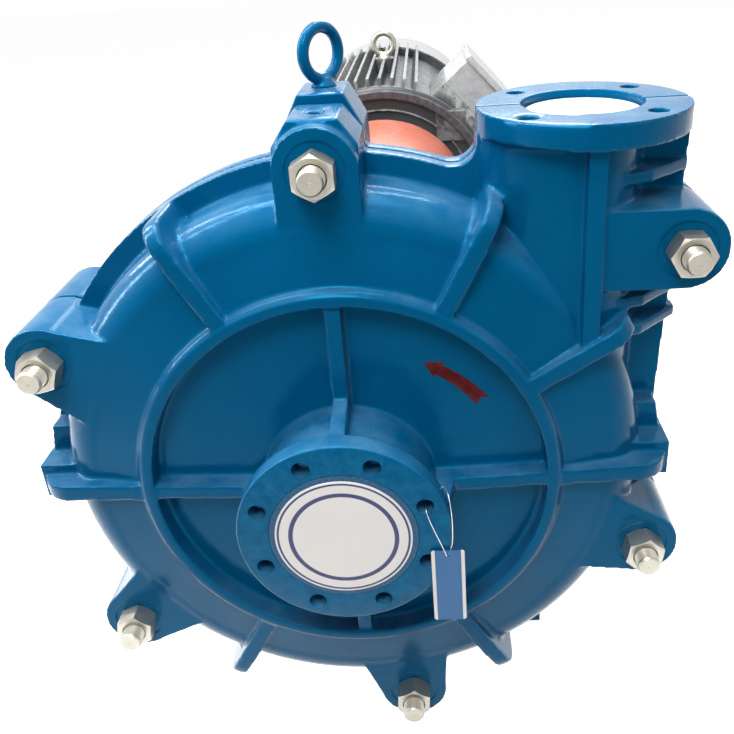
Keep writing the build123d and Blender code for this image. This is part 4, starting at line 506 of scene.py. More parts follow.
def edged_card(name, middle, half):
    """Card with a coloured middle between white edges."""
    colours = bpy.context.scene.pump_paint
    made = Finish(name)
    tree = made.tree
    across = parted(tree, place_on_object(tree))["X"]
    away = maths(tree, "ABSOLUTE", maths(tree, "SUBTRACT", across, middle))
    grain = made.group(grain_group(), Coarse=60.0, Fine=900.0)
    white = mixed(tree, grain["Mottle"], rgba([c * 0.9 for c in colours.cover]), rgba(colours.cover))
    colour = mixed(tree, ranged(tree, away, half, half * 0.97), white, rgba(colours.card))
    made.set(Base_Color=colour)
    made.shine(grain["Speckle"], 0.35, 0.5)
    made.bump(grain["Height"], 0.1, 0.0003)
    return made.material


def painted_end(name):
    """Cast liner whose outer end face is painted with the casing."""
    colours = bpy.context.scene.pump_paint
    made = Finish(name)
    tree = made.tree
    along = parted(tree, place_on_object(tree))["Y"]
    grain = made.group(grain_group(), Coarse=95.0, Fine=420.0)
    blue = mixed(tree, grain["Mottle"], rgba(colours.blue_deep_and_shade), rgba(colours.blue))
    colour = mixed(tree, ranged(tree, along, 0.002, 0.004), blue, (0.2, 0.2, 0.21, 1.0))
    made.set(Base_Color=colour, Specular_IOR_Level=0.3)
    made.shine(grain["Speckle"], 0.2, 0.35)
    made.bump(grain["Height"], 0.2, 0.0009)
    return made.material


def banded(name, light, dark, scale):
    """Wound or plaited material with fine bands."""
    made = Finish(name)
    tree = made.tree
    wave = add_node(tree, "ShaderNodeTexWave",
                    {"Vector": place_on_object(tree), "Scale": scale, "Distortion": 3.0, "Detail": 2.0},
                    wave_type="BANDS", bands_direction="DIAGONAL")
    grain = made.group(grain_group())
    colour = mixed(tree, wave.outputs["Fac"], rgba(dark), rgba(light))
    made.set(Base_Color=colour)
    made.shine(grain["Speckle"], 0.4, 0.6)
    made.bump(wave.outputs["Fac"], 0.5, 0.0008)
    return made.material


FINISHES = {}


def finish(name):
    """Named finish of this pump set, made once."""
    if name in FINISHES:
        return FINISHES[name]
    c = bpy.context.scene.pump_paint
    makers = {
        # Each paint's third colour is its painted edge highlight, partly also rubbed paint; its deep colour
        # also gives painted shade in corners.
        "casting_blue": lambda: paint(name, c.blue, c.blue_deep_and_shade, c.blue_edge_light_and_wear, tint=c.blue_gloss),
        "welded_blue": lambda: paint(name, c.blue, c.blue_deep_and_shade, c.blue_edge_light_and_wear, strength=0.2, sheen_and_dust_share=0.2,
                                     tint=c.blue_gloss),
        "guard_orange": lambda: paint(name, c.orange, [v * 0.9 for v in c.orange], (0.85, 0.36, 0.24),
                                      strength=0.12, sheen_and_dust_share=0.15, coat=0.3),
        # Motor: the light edge colour paints highlights on the fin tips, partly also rubbed paint.
        "motor_grey": lambda: paint(name, c.motor, [v * 0.78 for v in c.motor], (0.62, 0.62, 0.6),
                                    strength=0.2, shine=(0.25, 0.4), sheen_and_dust_share=0.12),
        "shield_grey": lambda: paint(name, c.shield, [v * 0.85 for v in c.shield], (0.3, 0.3, 0.3),
                                     strength=0.2, shine=(0.2, 0.35), sheen_and_dust_share=0.06),
        "cowl_grey": lambda: paint(name, c.cowl, [v * 0.9 for v in c.cowl], (0.6, 0.6, 0.6),
                                   strength=0.15, sheen_and_dust_share=0.1, coat=0.1),
        "arrow_red": lambda: paint(name, c.arrow, [v * 0.75 for v in c.arrow], (0.16, 0.03, 0.03),
                                   strength=0.3, shine=(0.4, 0.6), sheen_and_dust_share=0.03, tint=c.arrow),
        "zinc": lambda: metal(name, (0.50, 0.48, 0.42), (0.33, 0.31, 0.26), (0.3, 0.46), plating=0.9),
        "machined_steel": lambda: metal(name, (0.62, 0.62, 0.63), (0.42, 0.42, 0.43)),
        "bearing_steel": lambda: metal(name, (0.74, 0.75, 0.77), (0.6, 0.61, 0.63), (0.12, 0.25)),
        "hard_iron": lambda: metal(name, (0.3, 0.3, 0.31), (0.17, 0.17, 0.17), (0.4, 0.65), 60.0, 500.0, 0.5),
        "bronze": lambda: metal(name, (0.66, 0.45, 0.22), (0.45, 0.28, 0.12)),
        "copper": lambda: banded(name, (0.6, 0.28, 0.13), (0.25, 0.1, 0.05), 220.0),
        "plaited_fibre": lambda: banded(name, (0.72, 0.68, 0.58), (0.45, 0.41, 0.33), 160.0),
        "rubber": lambda: matt(name, (0.035, 0.035, 0.035), (0.018, 0.018, 0.018)),
        "fan_black": lambda: matt(name, (0.05, 0.05, 0.055), (0.03, 0.03, 0.032), (0.4, 0.6)),
        "plain_cover": lambda: matt(name, c.cover, [v * 0.88 for v in c.cover], (0.3, 0.45),
                                    25.0, 300.0, 0.3),
        "ringed_cover": lambda: ringed_cover(name),
        "painted_end": lambda: painted_end(name),
        "tag_wire": lambda: metal(name, (0.8, 0.8, 0.8), (0.55, 0.55, 0.55)),
    }
    FINISHES[name] = makers[name]()
    return FINISHES[name]


# Mesh helpers

def kept(bm, name):
    """Mesh from a bmesh, which is freed."""
    mesh = bpy.data.meshes.new(name)
    bm.to_mesh(mesh)
    bm.free()
    return mesh


def clean_copy(node):
    """A node's mesh with its triangles joined and its flat faces made whole."""
    bm = bmesh.new()
    bm.from_mesh(NODES[node].data)
    bmesh.ops.remove_doubles(bm, verts=bm.verts, dist=1e-5)
    bmesh.ops.dissolve_limit(bm, angle_limit=radians(0.4), verts=bm.verts, edges=bm.edges)
    mesh = kept(bm, node + "_copy")
    if "custom_normal" in mesh.attributes:
        mesh.attributes.remove(mesh.attributes["custom_normal"])
    return mesh


def shaded(mesh, angle=32.0):
    """Smooth shading that stops at sharp edges."""
    mesh.shade_smooth()
    mesh.set_sharp_from_angle(angle=radians(angle))
    return mesh


def linked(name, data):
    """New object in the scene."""
    made = bpy.data.objects.new(name, data)
    bpy.context.scene.collection.objects.link(made)
    return made


def helper(mesh):
    """Object that only serves to work on a mesh."""
    return linked("working_" + mesh.name, mesh)


def baked(worked):
    """Mesh with a working object's modifiers applied; the object goes."""
    bpy.context.view_layer.update()
    graph = bpy.context.evaluated_depsgraph_get()
    mesh = bpy.data.meshes.new_from_object(worked.evaluated_get(graph))
    bpy.data.objects.remove(worked)
    return mesh


def combined(mesh, other, operation, solver="EXACT"):
    """Mesh joined with, cut by or kept inside another."""
    worked = helper(mesh)
    tool = helper(other)
    change = worked.modifiers.new("combine", "BOOLEAN")
    change.operation = operation
    change.solver = solver
    change.object = tool
    result = baked(worked)
    bpy.data.objects.remove(tool)
    if not result.polygons:
        raise RuntimeError("Nothing left of " + mesh.name)
    return result


def cut(mesh, other):
    """Casting cut by another mesh."""
    return combined(mesh, other, "DIFFERENCE", "MANIFOLD")


def lathe(profile, centre=(0.0, 0.0, 0.0), axis=(0.0, 1.0, 0.0), steps=64):
    """(radius, place) profile spun round an axis through the centre."""
    bm = bmesh.new()
    along = Vector(axis)
    out = along.orthogonal().normalized()
    verts = [bm.verts.new(Vector(centre) + out * r + along * a) for r, a in profile]
    edges = [bm.edges.new(pair) for pair in zip(verts, verts[1:])]
    bmesh.ops.spin(bm, geom=verts + edges, cent=centre, axis=along, angle=2 * pi, steps=steps,
                   use_merge=True)
    bmesh.ops.remove_doubles(bm, verts=bm.verts, dist=1e-6)
    bmesh.ops.recalc_face_normals(bm, faces=bm.faces)
    return bm


def peg(radius, start, end, x=0.0, other=0.0, axis=(0.0, 1.0, 0.0), steps=40):
    """Closed round peg along the shaft, or upward; other is Z for the first and Y for the second."""
    centre = (x, 0.0, other) if axis[1] else (x, other, 0.0)
    return lathe(((0.0, start), (radius, start), (radius, end), (0.0, end)), centre, axis, steps)


def drawn_out(bm, depth):
    """Extrudes all faces of a bmesh along the shaft."""
    grown = bmesh.ops.extrude_face_region(bm, geom=list(bm.faces))["geom"]
    verts = [g for g in grown if isinstance(g, bmesh.types.BMVert)]
    bmesh.ops.translate(bm, vec=(0.0, depth, 0.0), verts=verts)
    bmesh.ops.recalc_face_normals(bm, faces=bm.faces)


def block(size, centre):
    """Block of a size about a centre."""
    bm = bmesh.new()
    bmesh.ops.create_cube(bm, size=1.0)
    bmesh.ops.scale(bm, vec=size, verts=bm.verts)
    bmesh.ops.translate(bm, vec=centre, verts=bm.verts)
    return bm


def gathered(meshes_and_places, name):
    """One mesh from copies of meshes at their places."""
    bm = bmesh.new()
    for mesh, matrix in meshes_and_places:
        first = len(bm.verts)
        bm.from_mesh(mesh)
        bm.verts.ensure_lookup_table()
        bmesh.ops.transform(bm, matrix=matrix, verts=bm.verts[first:])
    return kept(bm, name)


def add_piece(name, mesh, body, surface, replaced=()):
    """New piece that rides on a body."""
    mesh.materials.clear()
    mesh.materials.append(surface)
    mesh.name = name
    made = linked(name, mesh)
    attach(made, body)
    if replaced:
        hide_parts(*replaced)
    return made


def rounded_edges(made, width, angle=35.0):
    """Live bevel on a piece's sharp edges."""
    bevel = made.modifiers.new("edges", "BEVEL")
    bevel.width = width
    bevel.segments = 2
    bevel.limit_method = "ANGLE"
    bevel.angle_limit = radians(angle)
    bevel.use_clamp_overlap = True


def dress(node, surface, edge=None):
    """Joined and rounded copy of a node that stands for it."""
    made = add_piece(node + "_skin", shaded(clean_copy(node)), BODY_OF[node], finish(surface),
                     (node,))
    rounded_edges(made, bpy.context.scene.pump_casting.edge if edge is None else edge)
    return made


def paint_node(node, surface):
    """Finish on a node that keeps its own shape."""
    made = NODES[node]
    made.data.materials.clear()
    made.data.materials.append(finish(surface))


def softened(node, grid=None, passes=None, firm=None, rounder=None):
    """Cast copy of a node, remeshed and smoothed: less where firm says, more where rounder says."""
    settings = bpy.context.scene.pump_casting
    worked = helper(clean_copy(node))
    remesh = worked.modifiers.new("grid", "REMESH")
    remesh.mode = "VOXEL"
    remesh.voxel_size = grid or settings.grid
    mesh = baked(worked)
    worked = helper(mesh)
    group = worked.vertex_groups.new(name="soft")
    soft, hard = [], []
    for vert in mesh.vertices:
        (hard if firm and firm(vert.co) else soft).append(vert.index)
    group.add(soft, 1.0, "REPLACE")
    group.add(hard, 0.35, "REPLACE")
    smooth = worked.modifiers.new("smooth", "SMOOTH")
    smooth.factor = 0.5
    smooth.iterations = settings.passes if passes is None else passes
    smooth.vertex_group = "soft"
    if rounder:
        ends = worked.vertex_groups.new(name="ends")
        ends.add([vert.index for vert in mesh.vertices if rounder(vert.co)], 1.0, "REPLACE")
        smooth = worked.modifiers.new("ends", "SMOOTH")
        smooth.factor = 0.5
        smooth.iterations = settings.end_passes
        smooth.vertex_group = "ends"
    return baked(worked)


def thinned(mesh):
    """Mesh brought under the limit of triangles."""
    mesh.calc_loop_triangles()
    count = len(mesh.loop_triangles)
    most = bpy.context.scene.pump_casting.most_triangles
    if count <= most:
        return mesh
    worked = helper(mesh)
    thin = worked.modifiers.new("thin", "DECIMATE")
    thin.ratio = most / count
    return baked(worked)


def bolt_places():
    """(x, z) of the cover bolts."""
    ring = [radians(FIRST_BOLT + BOLT_STEP * k) for k in range(5)]
    return [(BOLT_CIRCLE * cos(a), BOLT_CIRCLE * sin(a)) for a in ring] + [CORNER_BOLT]


def pegs_mesh(pegs, name):
    """One mesh from several pegs or rings."""
    bm = bmesh.new()
    for one in pegs:
        mesh = kept(one, name)
        bm.from_mesh(mesh)
        bpy.data.meshes.remove(mesh)
    return kept(bm, name)


# Operators

class PUMP_OT_casing(Operator):
    """Make the two cast casing halves, with soft cast edges and crisp machined holes"""

    bl_idname = "pump.casing"
    bl_label = "Casing"

    def execute(self, context):
        def firm(co):
            return (co.z > DISCHARGE_FLANGE_LOW
                    and (co.x - DISCHARGE[0]) ** 2 + (co.y - DISCHARGE[1]) ** 2 < DISCHARGE_FIRM_SQUARE)

        def rib_end(co):
            turn = degrees(atan2(co.z, co.x)) % 360
            return (Vector((co.x, co.z)).length > RIB_ROUND_FROM and co.y < RIM_FACE_Y
                    and any(abs(turn - angle) < RIB_HALF_ANGLE for angle in RIB_ANGLES))

        front = softened("cover_plate", firm=firm, rounder=rib_end)
        front = cut(front, kept(peg(*FLANGE_CUT, steps=48), "flange_cut"))
        front = combined(front, self.flange(), "UNION", "MANIFOLD")
        nut_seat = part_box("cover_nuts")[1][1]
        front = cut(front, self.spot_faces(SPOT_FACE_REACH[0], nut_seat))
        holes = []
        for k in range(SUCTION_HOLES):
            angle = radians((k + 0.5) * 360 / SUCTION_HOLES)
            x, z = SUCTION_HOLE_CIRCLE * cos(angle), SUCTION_HOLE_CIRCLE * sin(angle)
            holes.append(peg(*SUCTION_HOLE, x, z))
        front = cut(front, pegs_mesh(holes, "suction_holes"))
        back = cut(softened("frame_plate", firm=firm), self.rib_trim())
        head_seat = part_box("cover_bolts")[1][1] - context.scene.pump_fasteners.head_height
        back = cut(back, self.spot_faces(head_seat, SPOT_FACE_REACH[1]))
        for k in range(DISCHARGE_HOLES):
            angle = radians((k + 0.5) * 360 / DISCHARGE_HOLES)
            x = DISCHARGE[0] + DISCHARGE_HOLE_CIRCLE * cos(angle)
            y = DISCHARGE[1] + DISCHARGE_HOLE_CIRCLE * sin(angle)
            hole = kept(peg(*DISCHARGE_HOLE, x, y, UPWARD), "discharge_hole")
            if y < DISCHARGE[1]:
                front = cut(front, hole)
            else:
                back = cut(back, hole)
        front = cut(front, kept(peg(*TOP_TAP, *TOP_TAP_PLACE, UPWARD), "top_tap"))
        for mesh, node in ((front, "cover_plate"), (back, "frame_plate")):
            add_piece(node + "_casting", shaded(thinned(mesh), 40.0), "pump_set",
                      finish("casting_blue"), (node,))
        eye = softened("lifting_eye", 0.0012, 6)
        add_piece("lifting_eye_forging", shaded(eye, 60.0), "pump_set",
                  finish("casting_blue"), ("lifting_eye",))
        return {"FINISHED"}

    def spot_faces(self, start, end):
        """Cutter for the flat seats round the cover bolts."""
        spots = [peg(SPOT_FACE_R, start, end, x, z, steps=56) for x, z in bolt_places()]
        return pegs_mesh(spots, "spot_faces")

    def rib_trim(self):
        """Block that lowers the rear rib behind the rim."""
        bm = block(TRIM_SIZE, (TRIM_FROM[0] + TRIM_SIZE[0] / 2, TRIM_FROM[1] + TRIM_SIZE[1] / 2, 0.0))
        bmesh.ops.rotate(bm, matrix=Matrix.Rotation(radians(-TRIMMED_RIB), 3, "Y"), verts=bm.verts)
        return kept(bm, "rib_trim")

    def flange(self):
        """Suction flange with rounded rims."""
        bm = lathe(((FLANGE_BORE, 0.0), (FLANGE_R, 0.0), (FLANGE_R, FLANGE_T), (FLANGE_BORE, FLANGE_T),
                    (FLANGE_BORE, 0.0)), steps=128)
        rims = [e for e in bm.edges
                if all(abs((v.co.x ** 2 + v.co.z ** 2) ** 0.5 - FLANGE_R) < 1e-5 for v in e.verts)
                and abs(e.verts[0].co.y - e.verts[1].co.y) < 1e-6]
        bmesh.ops.bevel(bm, geom=rims, offset=FLANGE_RIM, affect="EDGES", segments=3, profile=0.5,
                        material=-1)
        return kept(bm, "flange")


class PUMP_OT_cover_fasteners(Operator):
    """Make the six threaded cover bolts and their chamfered nuts"""

    bl_idname = "pump.cover_fasteners"
    bl_label = "Cover fasteners"

    def execute(self, context):
        s = context.scene.pump_fasteners
        low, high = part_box("cover_bolts")
        nut_low, nut_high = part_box("cover_nuts")
        nut = self.hexagon(s.flats, s.nut_height, both_ends=True)
        bore = s.radius + NUT_CLEARANCE
        mouth = bore + COUNTERSINK
        past = s.nut_height + CUTTER_PAST
        hole = lathe(((0.0, -CUTTER_PAST), (mouth, -CUTTER_PAST), (mouth, 0.0), (bore, COUNTERSINK),
                      (bore, past), (0.0, past)))
        nut = combined(nut, kept(hole, "nut_hole"), "DIFFERENCE")
        seat = high[1] - s.head_height
        head = self.hexagon(s.flats, s.head_height, both_ends=False)
        shank = kept(self.shank(s, low[1], nut_high[1], seat), "shank")
        nuts, bolts = [], []
        for (x, z), turn in zip(bolt_places(), NUT_TURNS):
            spun = Matrix.Rotation(radians(-turn), 4, "Y")
            nuts.append((nut, Matrix.Translation((x, nut_low[1], z)) @ spun))
            bolts.append((head, Matrix.Translation((x, seat, z)) @ spun))
            bolts.append((shank, Matrix.Translation((x, 0.0, z)) @ spun))
        for name, parts, node in (("cover_nut_set", nuts, "cover_nuts"),
                                  ("cover_bolt_set", bolts, "cover_bolts")):
            made = add_piece(name, shaded(gathered(parts, name), 28.0), "pump_set",
                             finish("zinc"), (node,))
            rounded_edges(made, 0.0005, 28.0)
        return {"FINISHED"}

    def hexagon(self, flats, height, both_ends):
        """Hexagon standing along the shaft from zero, its corners chamfered at one or both ends."""
        bm = bmesh.new()
        turn = Matrix.Rotation(radians(-90), 4, "X") @ Matrix.Rotation(radians(30), 4, "Z")
        bmesh.ops.create_circle(bm, cap_ends=True, radius=flats / 2 / cos(pi / 6), segments=6, matrix=turn)
        drawn_out(bm, height)
        prism = kept(bm, "prism")
        face_r = flats / 2 * CHAMFER_FACE
        drop = height * CHAMFER_DEPTH
        wide = face_r + drop * CHAMFER_SLOPE
        front = ((0.0, -0.001), (wide, -0.001))
        if both_ends:
            front = ((0.0, 0.0), (face_r, 0.0), (wide, drop))
        cone = kept(lathe(front + ((wide, height - drop), (face_r, height), (0.0, height)), steps=72), "cone")
        return combined(prism, cone, "INTERSECT")

    def shank(self, s, tip, nut_back, seat):
        """Bolt body: dimpled, chamfered tip, thread through the nut, plain behind it."""
        root = s.radius - s.thread_depth
        profile = [(0.0, tip + DIMPLE[1]), (DIMPLE[0], tip), (root - 0.0004, tip),
                   (s.radius - 0.0003, tip + TIP_CHAMFER)]
        place = tip + THREAD_START
        while place < nut_back - s.pitch:
            profile += [(s.radius, place), (s.radius, place + s.pitch * CREST_SHARE),
                        (root, place + s.pitch * ROOT_SHARE)]
            place += s.pitch
        profile += [(s.radius, place + 0.002), (s.radius, seat), (0.0, seat)]
        return lathe(profile, steps=48)


class PUMP_OT_port_covers(Operator):
    """Finish the transport covers on both ports"""

    bl_idname = "pump.port_covers"
    bl_label = "Port covers"

    def execute(self, context):
        dress("suction_port_cover", "ringed_cover", 0.0003)
        dress("discharge_port_cover", "plain_cover", 0.0003)
        return {"FINISHED"}


class PUMP_OT_rotation_arrow(Operator):
    """Lay the curved rotation arrow on the dished cover"""

    bl_idname = "pump.rotation_arrow"
    bl_label = "Rotation arrow"

    def execute(self, context):
        thick = context.scene.pump_trim.arrow_t
        bm = bmesh.new()
        tail, head, tip = (radians(turn) for turn in ARROW_TURNS)
        rows = []
        for k in range(ARROW_STEPS + 1):
            share = k / ARROW_STEPS
            angle = tail + (head - tail) * share
            middle, half = (a + (b - a) * share for a, b in zip(ARROW_TAIL, ARROW_NECK))
            row = []
            for side in (-1.0, 0.0, 1.0):
                turn = angle + (radians(ARROW_NOTCH) if k == 0 and side == 0.0 else 0.0)
                radius = middle + side * half
                row.append(bm.verts.new((radius * cos(turn), 0.0, radius * sin(turn))))
            rows.append(row)
        for near, far in zip(rows, rows[1:]):
            for k in (0, 1):
                bm.faces.new((near[k], far[k], far[k + 1], near[k + 1]))
        ends = ((ARROW_TIP, tip), (ARROW_INNER, head), (ARROW_OUTER, head))
        point, inner, outer = (bm.verts.new((radius * cos(turn), 0.0, radius * sin(turn)))
                               for radius, turn in ends)
        last = rows[-1]
        for corners in ((inner, point, last[0]), (last[0], point, last[1]), (last[1], point, last[2]),
                        (last[2], point, outer)):
            bm.faces.new(corners)
        bmesh.ops.recalc_face_normals(bm, faces=bm.faces)
        carrier = bpy.data.objects["cover_plate_casting"].data
        tree = BVHTree.FromPolygons([v.co for v in carrier.vertices], [p.vertices for p in carrier.polygons])
        for vert in bm.verts:
            hit = tree.ray_cast(Vector((vert.co.x, -0.3, vert.co.z)), Vector((0.0, 1.0, 0.0)))[0]
            if hit is None:
                raise RuntimeError("The arrow is off the cover")
            vert.co.y = hit.y - thick
        drawn_out(bm, thick * 2)
        add_piece("rotation_arrow", shaded(kept(bm, "rotation_arrow")), "pump_set",
                  finish("arrow_red"))
        return {"FINISHED"}


class PUMP_OT_hang_tag(Operator):
    """Hang the blank card tag on its wire from a suction flange hole"""

    bl_idname = "pump.hang_tag"
    bl_label = "Hang tag"

    def execute(self, context):
        s = context.scene.pump_trim
        bm = block((TAG_HALF * 2, s.tag_t, TAG_TOP - TAG_LOW),
                   (TAG_MIDDLE, TAG_FRONT + s.tag_t / 2, (TAG_TOP + TAG_LOW) / 2))
        corners = [e for e in bm.edges if abs(e.verts[0].co.y - e.verts[1].co.y) > s.tag_t / 2]
        bmesh.ops.bevel(bm, geom=corners, offset=TAG_CORNER, affect="EDGES", segments=3, profile=0.5,
                        material=-1)
        card = kept(bm, "card")
        eye = TAG_TOP - TAG_HOLE_DROP
        hole = peg(TAG_HOLE_R, TAG_FRONT - 0.01, TAG_FRONT + 0.01, TAG_MIDDLE, eye, steps=20)
        card = combined(card, kept(hole, "card_hole"), "DIFFERENCE")
        add_piece("hang_tag", shaded(card), "pump_set",
                  edged_card("tag_card", TAG_MIDDLE, TAG_HALF * TAG_BLUE_SHARE))
        self.wire(s.wire_r, eye)
        return {"FINISHED"}

    def wire(self, radius, eye):
        """Closed wire loop: out of the flange hole, through the card's eye, back round the rim."""
        angle = radians(TAG_HOLE_TURN)
        x, z = SUCTION_HOLE_CIRCLE * cos(angle), SUCTION_HOLE_CIRCLE * sin(angle)
        route = (
            (x, 0.012, z - 0.004), (x, -0.001, z - 0.005), (x + 0.006, -0.0055, z - 0.022),
            (TAG_MIDDLE - 0.004, -0.0058, eye + 0.010), (TAG_MIDDLE - 0.001, -0.0058, eye),
            (TAG_MIDDLE, TAG_FRONT + 0.0005, eye - 0.0008), (TAG_MIDDLE + 0.001, -0.0012, eye),
            (TAG_MIDDLE + 0.006, -0.0014, eye + 0.014), (FLANGE_R + 0.0008, -0.001, z - 0.018),
            (FLANGE_R - 0.001, 0.004, z + 0.002), (FLANGE_R - 0.003, 0.016, z + 0.006),
            (FLANGE_R - 0.006, 0.0265, z + 0.006), (x + 0.008, 0.0270, z + 0.002), (x, 0.022, z - 0.002),
        )
        curve = bpy.data.curves.new("tag_wire", "CURVE")
        curve.dimensions = "3D"
        curve.bevel_depth = radius
        curve.bevel_resolution = 3
        spline = curve.splines.new("NURBS")
        spline.points.add(len(route) - 1)
        for point, place in zip(spline.points, route):
            point.co = (place[0], place[1], place[2], 1.0)
        spline.use_cyclic_u = True
        spline.order_u = 3
        spline.resolution_u = 6
        line = linked("working_wire", curve)
        add_piece("tag_wire", shaded(baked(line), 60.0), "pump_set", finish("tag_wire"))


class PUMP_OT_bearing_frame(Operator):
    """Finish the bearing frame, the bearing housing, the stuffing box and their fasteners"""

    bl_idname = "pump.bearing_frame"
    bl_label = "Bearing frame"

    def execute(self, context):
        frame_mesh = softened("pump_frame", 0.0035, 6)
        add_piece("pump_frame_casting", shaded(thinned(frame_mesh), 45.0), "pump_set",
                  finish("casting_blue"), ("pump_frame",))
        for node in ("bearing_housing", "pump_end_cover", "drive_end_cover", "stuffing_box"):
            dress(node, "casting_blue", 0.002)
        for node in ("gland_studs", "gland_nuts", "frame_studs", "clamp_washers", "clamp_bolts",
                     "adjusting_screw", "adjusting_nuts", "end_cover_screws"):
            dress(node, "zinc", 0.0007)
        dress("gland_halves", "bronze")
        for node in ("pump_shaft", "shaft_sleeve", "labyrinth_rings"):
            dress(node, "machined_steel", 0.0006)
        return {"FINISHED"}


class PUMP_OT_coupling(Operator):
    """Finish the pin coupling and its guard"""

    bl_idname = "pump.coupling"
    bl_label = "Coupling and guard"

    def execute(self, context):
        dress("coupling_guard", "guard_orange")
        for node in ("pump_coupling_half", "motor_coupling_half"):
            dress(node, "welded_blue", 0.0015)
        dress("coupling_pins", "zinc", 0.0006)
        dress("coupling_bushes", "rubber", 0.0004)
        return {"FINISHED"}


class PUMP_OT_motor(Operator):
    """Finish the finned motor, its shields, cowl, terminal box and lifting eye"""

    bl_idname = "pump.motor"
    bl_label = "Motor"

    def execute(self, context):
        dress("motor_frame", "motor_grey", 0.001)
        for node in ("motor_front_shield", "motor_rear_shield"):
            dress(node, "shield_grey", 0.002)
        rings = []
        for inner, outer, proud in SHIELD_RINGS:
            face = SHIELD_FACE_Y + RING_SINK
            top = SHIELD_FACE_Y - proud
            profile = ((inner, face), (outer, face), (outer, top), (inner, top), (inner, face))
            rings.append(lathe(profile, steps=96))
        made = add_piece("motor_shield_rings", shaded(pegs_mesh(rings, "shield_rings")), "pump_set",
                         finish("shield_grey"))
        rounded_edges(made, 0.003)
        for node in ("fan_cowl", "terminal_box", "terminal_lid"):
            dress(node, "cowl_grey", 0.0015)
        eye = softened("motor_eyebolt", 0.0012, 5)
        add_piece("motor_eyebolt_forging", shaded(eye, 60.0), "pump_set", finish("zinc"),
                  ("motor_eyebolt",))
        dress("motor_shaft", "machined_steel", 0.0008)
        dress("cooling_fan", "fan_black")
        return {"FINISHED"}


class PUMP_OT_base(Operator):
    """Finish the welded base, the motor pedestals and the foot bolts"""

    bl_idname = "pump.base"
    bl_label = "Base"

    def execute(self, context):
        for node in ("base_rails", "base_cross_members", "motor_pedestals"):
            dress(node, "welded_blue", 0.0018)
        dress("foot_bolts", "zinc", 0.0008)
        return {"FINISHED"}


class PUMP_OT_inner_parts(Operator):
    """Finish the pieces inside the casing, the bearings and the motor"""

    bl_idname = "pump.inner_parts"
    bl_label = "Inner parts"

    def execute(self, context):
        finishes = {
            "hard_iron": ("volute_liner", "back_liner", "impeller"),
            "painted_end": ("throatbush",),
            "bronze": ("lantern_ring",),
            "plaited_fibre": ("packing_rings",),
            "machined_steel": ("pump_shaft_key", "bearing_lock_nut", "motor_shaft_key", "rotor_core",
                               "stator_core"),
            "bearing_steel": ("pump_end_outer_race", "pump_end_inner_race", "drive_end_outer_race",
                              "drive_end_inner_race", "motor_outer_races", "motor_inner_races"),
            "copper": ("stator_windings",),
        }
        for surface, nodes in finishes.items():
            for node in nodes:
                paint_node(node, surface)
        return {"FINISHED"}


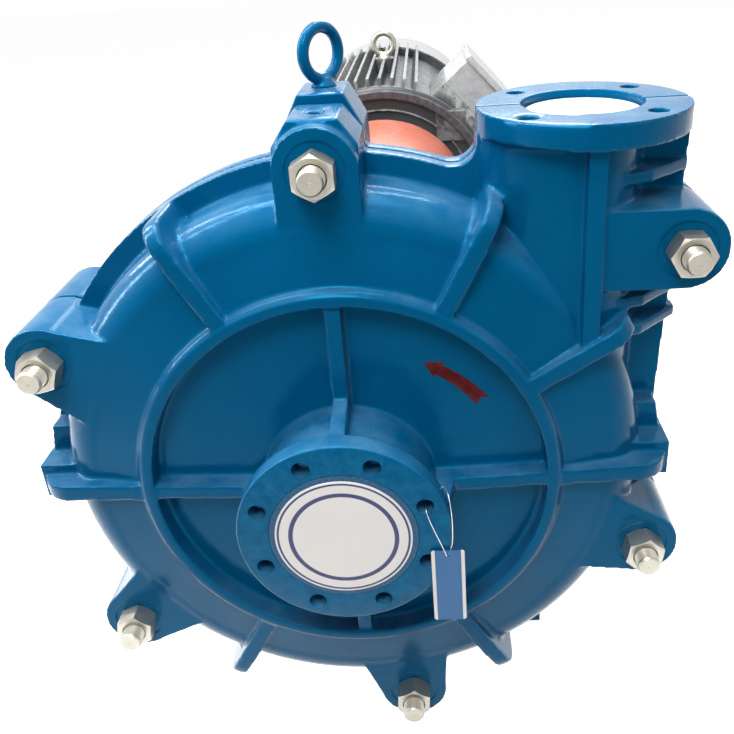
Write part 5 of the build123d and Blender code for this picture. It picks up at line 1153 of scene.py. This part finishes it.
class PUMP_OT_stage(Operator):
    """Set the floor, the lamps, the sky and the camera"""

    bl_idname = "pump.stage"
    bl_label = "Stage"

    def execute(self, context):
        s = context.scene.pump_stage
        self.floor(s.floor)
        self.sky(context.scene, s.sky)
        for name, place, aim, width, height, power, share in LAMPS:
            self.lamp(name, place, aim, (width, height), getattr(s, power) * share)
        self.camera(context.scene, s)
        context.scene.view_settings.view_transform = "Standard"
        return {"FINISHED"}

    def floor(self, half):
        """Pale floor that stays white to the camera and keeps the shadow."""
        place = Matrix.Translation((0.0, 1.0, CAD_BOX[0][2] - FLOOR_DROP))
        bm = bmesh.new()
        bmesh.ops.create_grid(bm, x_segments=2, y_segments=2, size=half, matrix=place)
        mesh = kept(bm, "floor")
        material = bpy.data.materials.new("floor_white")
        material.use_nodes = True
        tree = material.node_tree
        shader = next(n for n in tree.nodes if n.type == "BSDF_PRINCIPLED")
        shader.inputs["Roughness"].default_value = 0.9
        shader.inputs["Specular IOR Level"].default_value = 0.0
        seen = seen_ray(tree)
        plug(tree, mixed(tree, seen, FLOOR_LIT, FLOOR_SEEN), shader.inputs["Base Color"])
        glow = add_node(tree, "ShaderNodeEmission", {"Strength": maths(tree, "MULTIPLY", seen, FLOOR_GLOW)})
        both = add_node(tree, "ShaderNodeAddShader", {0: shader.outputs[0], 1: glow.outputs[0]})
        out = next(n for n in tree.nodes if n.type == "OUTPUT_MATERIAL")
        tree.links.new(both.outputs[0], out.inputs["Surface"])
        mesh.materials.append(material)
        made = linked("floor", mesh)

    def sky(self, scene, strength):
        """White sky: full white where it is seen, plain light elsewhere."""
        world = bpy.data.worlds.new("studio")
        world.use_nodes = True
        scene.world = world
        tree = world.node_tree
        back = next(n for n in tree.nodes if n.type == "BACKGROUND")
        back.inputs["Color"].default_value = (1.0, 1.0, 1.0, 1.0)
        seen = seen_ray(tree)
        plug(tree, ranged(tree, seen, 0.0, 1.0, strength, 1.0), back.inputs["Strength"])

    def lamp(self, name, place, aim, size, power):
        """Soft oblong lamp aimed at a point."""
        data = bpy.data.lights.new(name, "AREA")
        data.shape = "RECTANGLE"
        data.size, data.size_y = size
        data.energy = power
        turned = (Vector(aim) - Vector(place)).to_track_quat("-Z", "Y").to_matrix().to_4x4()
        linked(name, data).matrix_world = Matrix.Translation(place) @ turned

    def camera(self, scene, s):
        """Camera at the photograph's viewing angle."""
        data = bpy.data.cameras.new("camera")
        data.sensor_width = SENSOR_WIDTH
        data.lens = s.lens
        data.shift_x = s.shift_x
        data.shift_y = s.shift_y
        data.clip_start = 0.01
        made = linked("camera", data)
        turned = Matrix((CAMERA_RIGHT, CAMERA_UP, -CAMERA_FORWARD)).transposed().to_4x4()
        made.matrix_world = Matrix.Translation(CAMERA_PLACE) @ turned
        scene.camera = made


class PUMP_PT_panel(Panel):
    """Lists the steps that dress the pump set"""

    bl_label = "Slurry pump set"
    bl_idname = "PUMP_PT_panel"
    bl_space_type = "VIEW_3D"
    bl_region_type = "UI"
    bl_category = "Pump"

    def draw(self, context):
        for step in STEPS:
            self.layout.operator(step.bl_idname)


STEPS = (PUMP_OT_casing, PUMP_OT_cover_fasteners, PUMP_OT_port_covers, PUMP_OT_rotation_arrow,
         PUMP_OT_hang_tag, PUMP_OT_bearing_frame, PUMP_OT_coupling, PUMP_OT_motor, PUMP_OT_base,
         PUMP_OT_inner_parts, PUMP_OT_stage)
SETTINGS = (("pump_paint", PaintSettings), ("pump_casting", CastingSettings),
            ("pump_fasteners", FastenerSettings), ("pump_trim", TrimSettings), ("pump_stage", StageSettings))


def register():
    """Makes the settings, steps and panel known."""
    for name, kind in SETTINGS:
        bpy.utils.register_class(kind)
        setattr(bpy.types.Scene, name, PointerProperty(type=kind))
    for step in STEPS:
        bpy.utils.register_class(step)
    bpy.utils.register_class(PUMP_PT_panel)


def unregister():
    """Takes them away again."""
    bpy.utils.unregister_class(PUMP_PT_panel)
    for step in reversed(STEPS):
        bpy.utils.unregister_class(step)
    for name, kind in reversed(SETTINGS):
        delattr(bpy.types.Scene, name)
        bpy.utils.unregister_class(kind)


def main():
    """Dresses the whole set."""
    register()
    bpy.ops.pump.casing()
    bpy.ops.pump.cover_fasteners()
    bpy.ops.pump.port_covers()
    bpy.ops.pump.rotation_arrow()
    bpy.ops.pump.hang_tag()
    bpy.ops.pump.bearing_frame()
    bpy.ops.pump.coupling()
    bpy.ops.pump.motor()
    bpy.ops.pump.base()
    bpy.ops.pump.inner_parts()
    bpy.ops.pump.stage()
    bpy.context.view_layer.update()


if __name__ == "__main__":
    main()
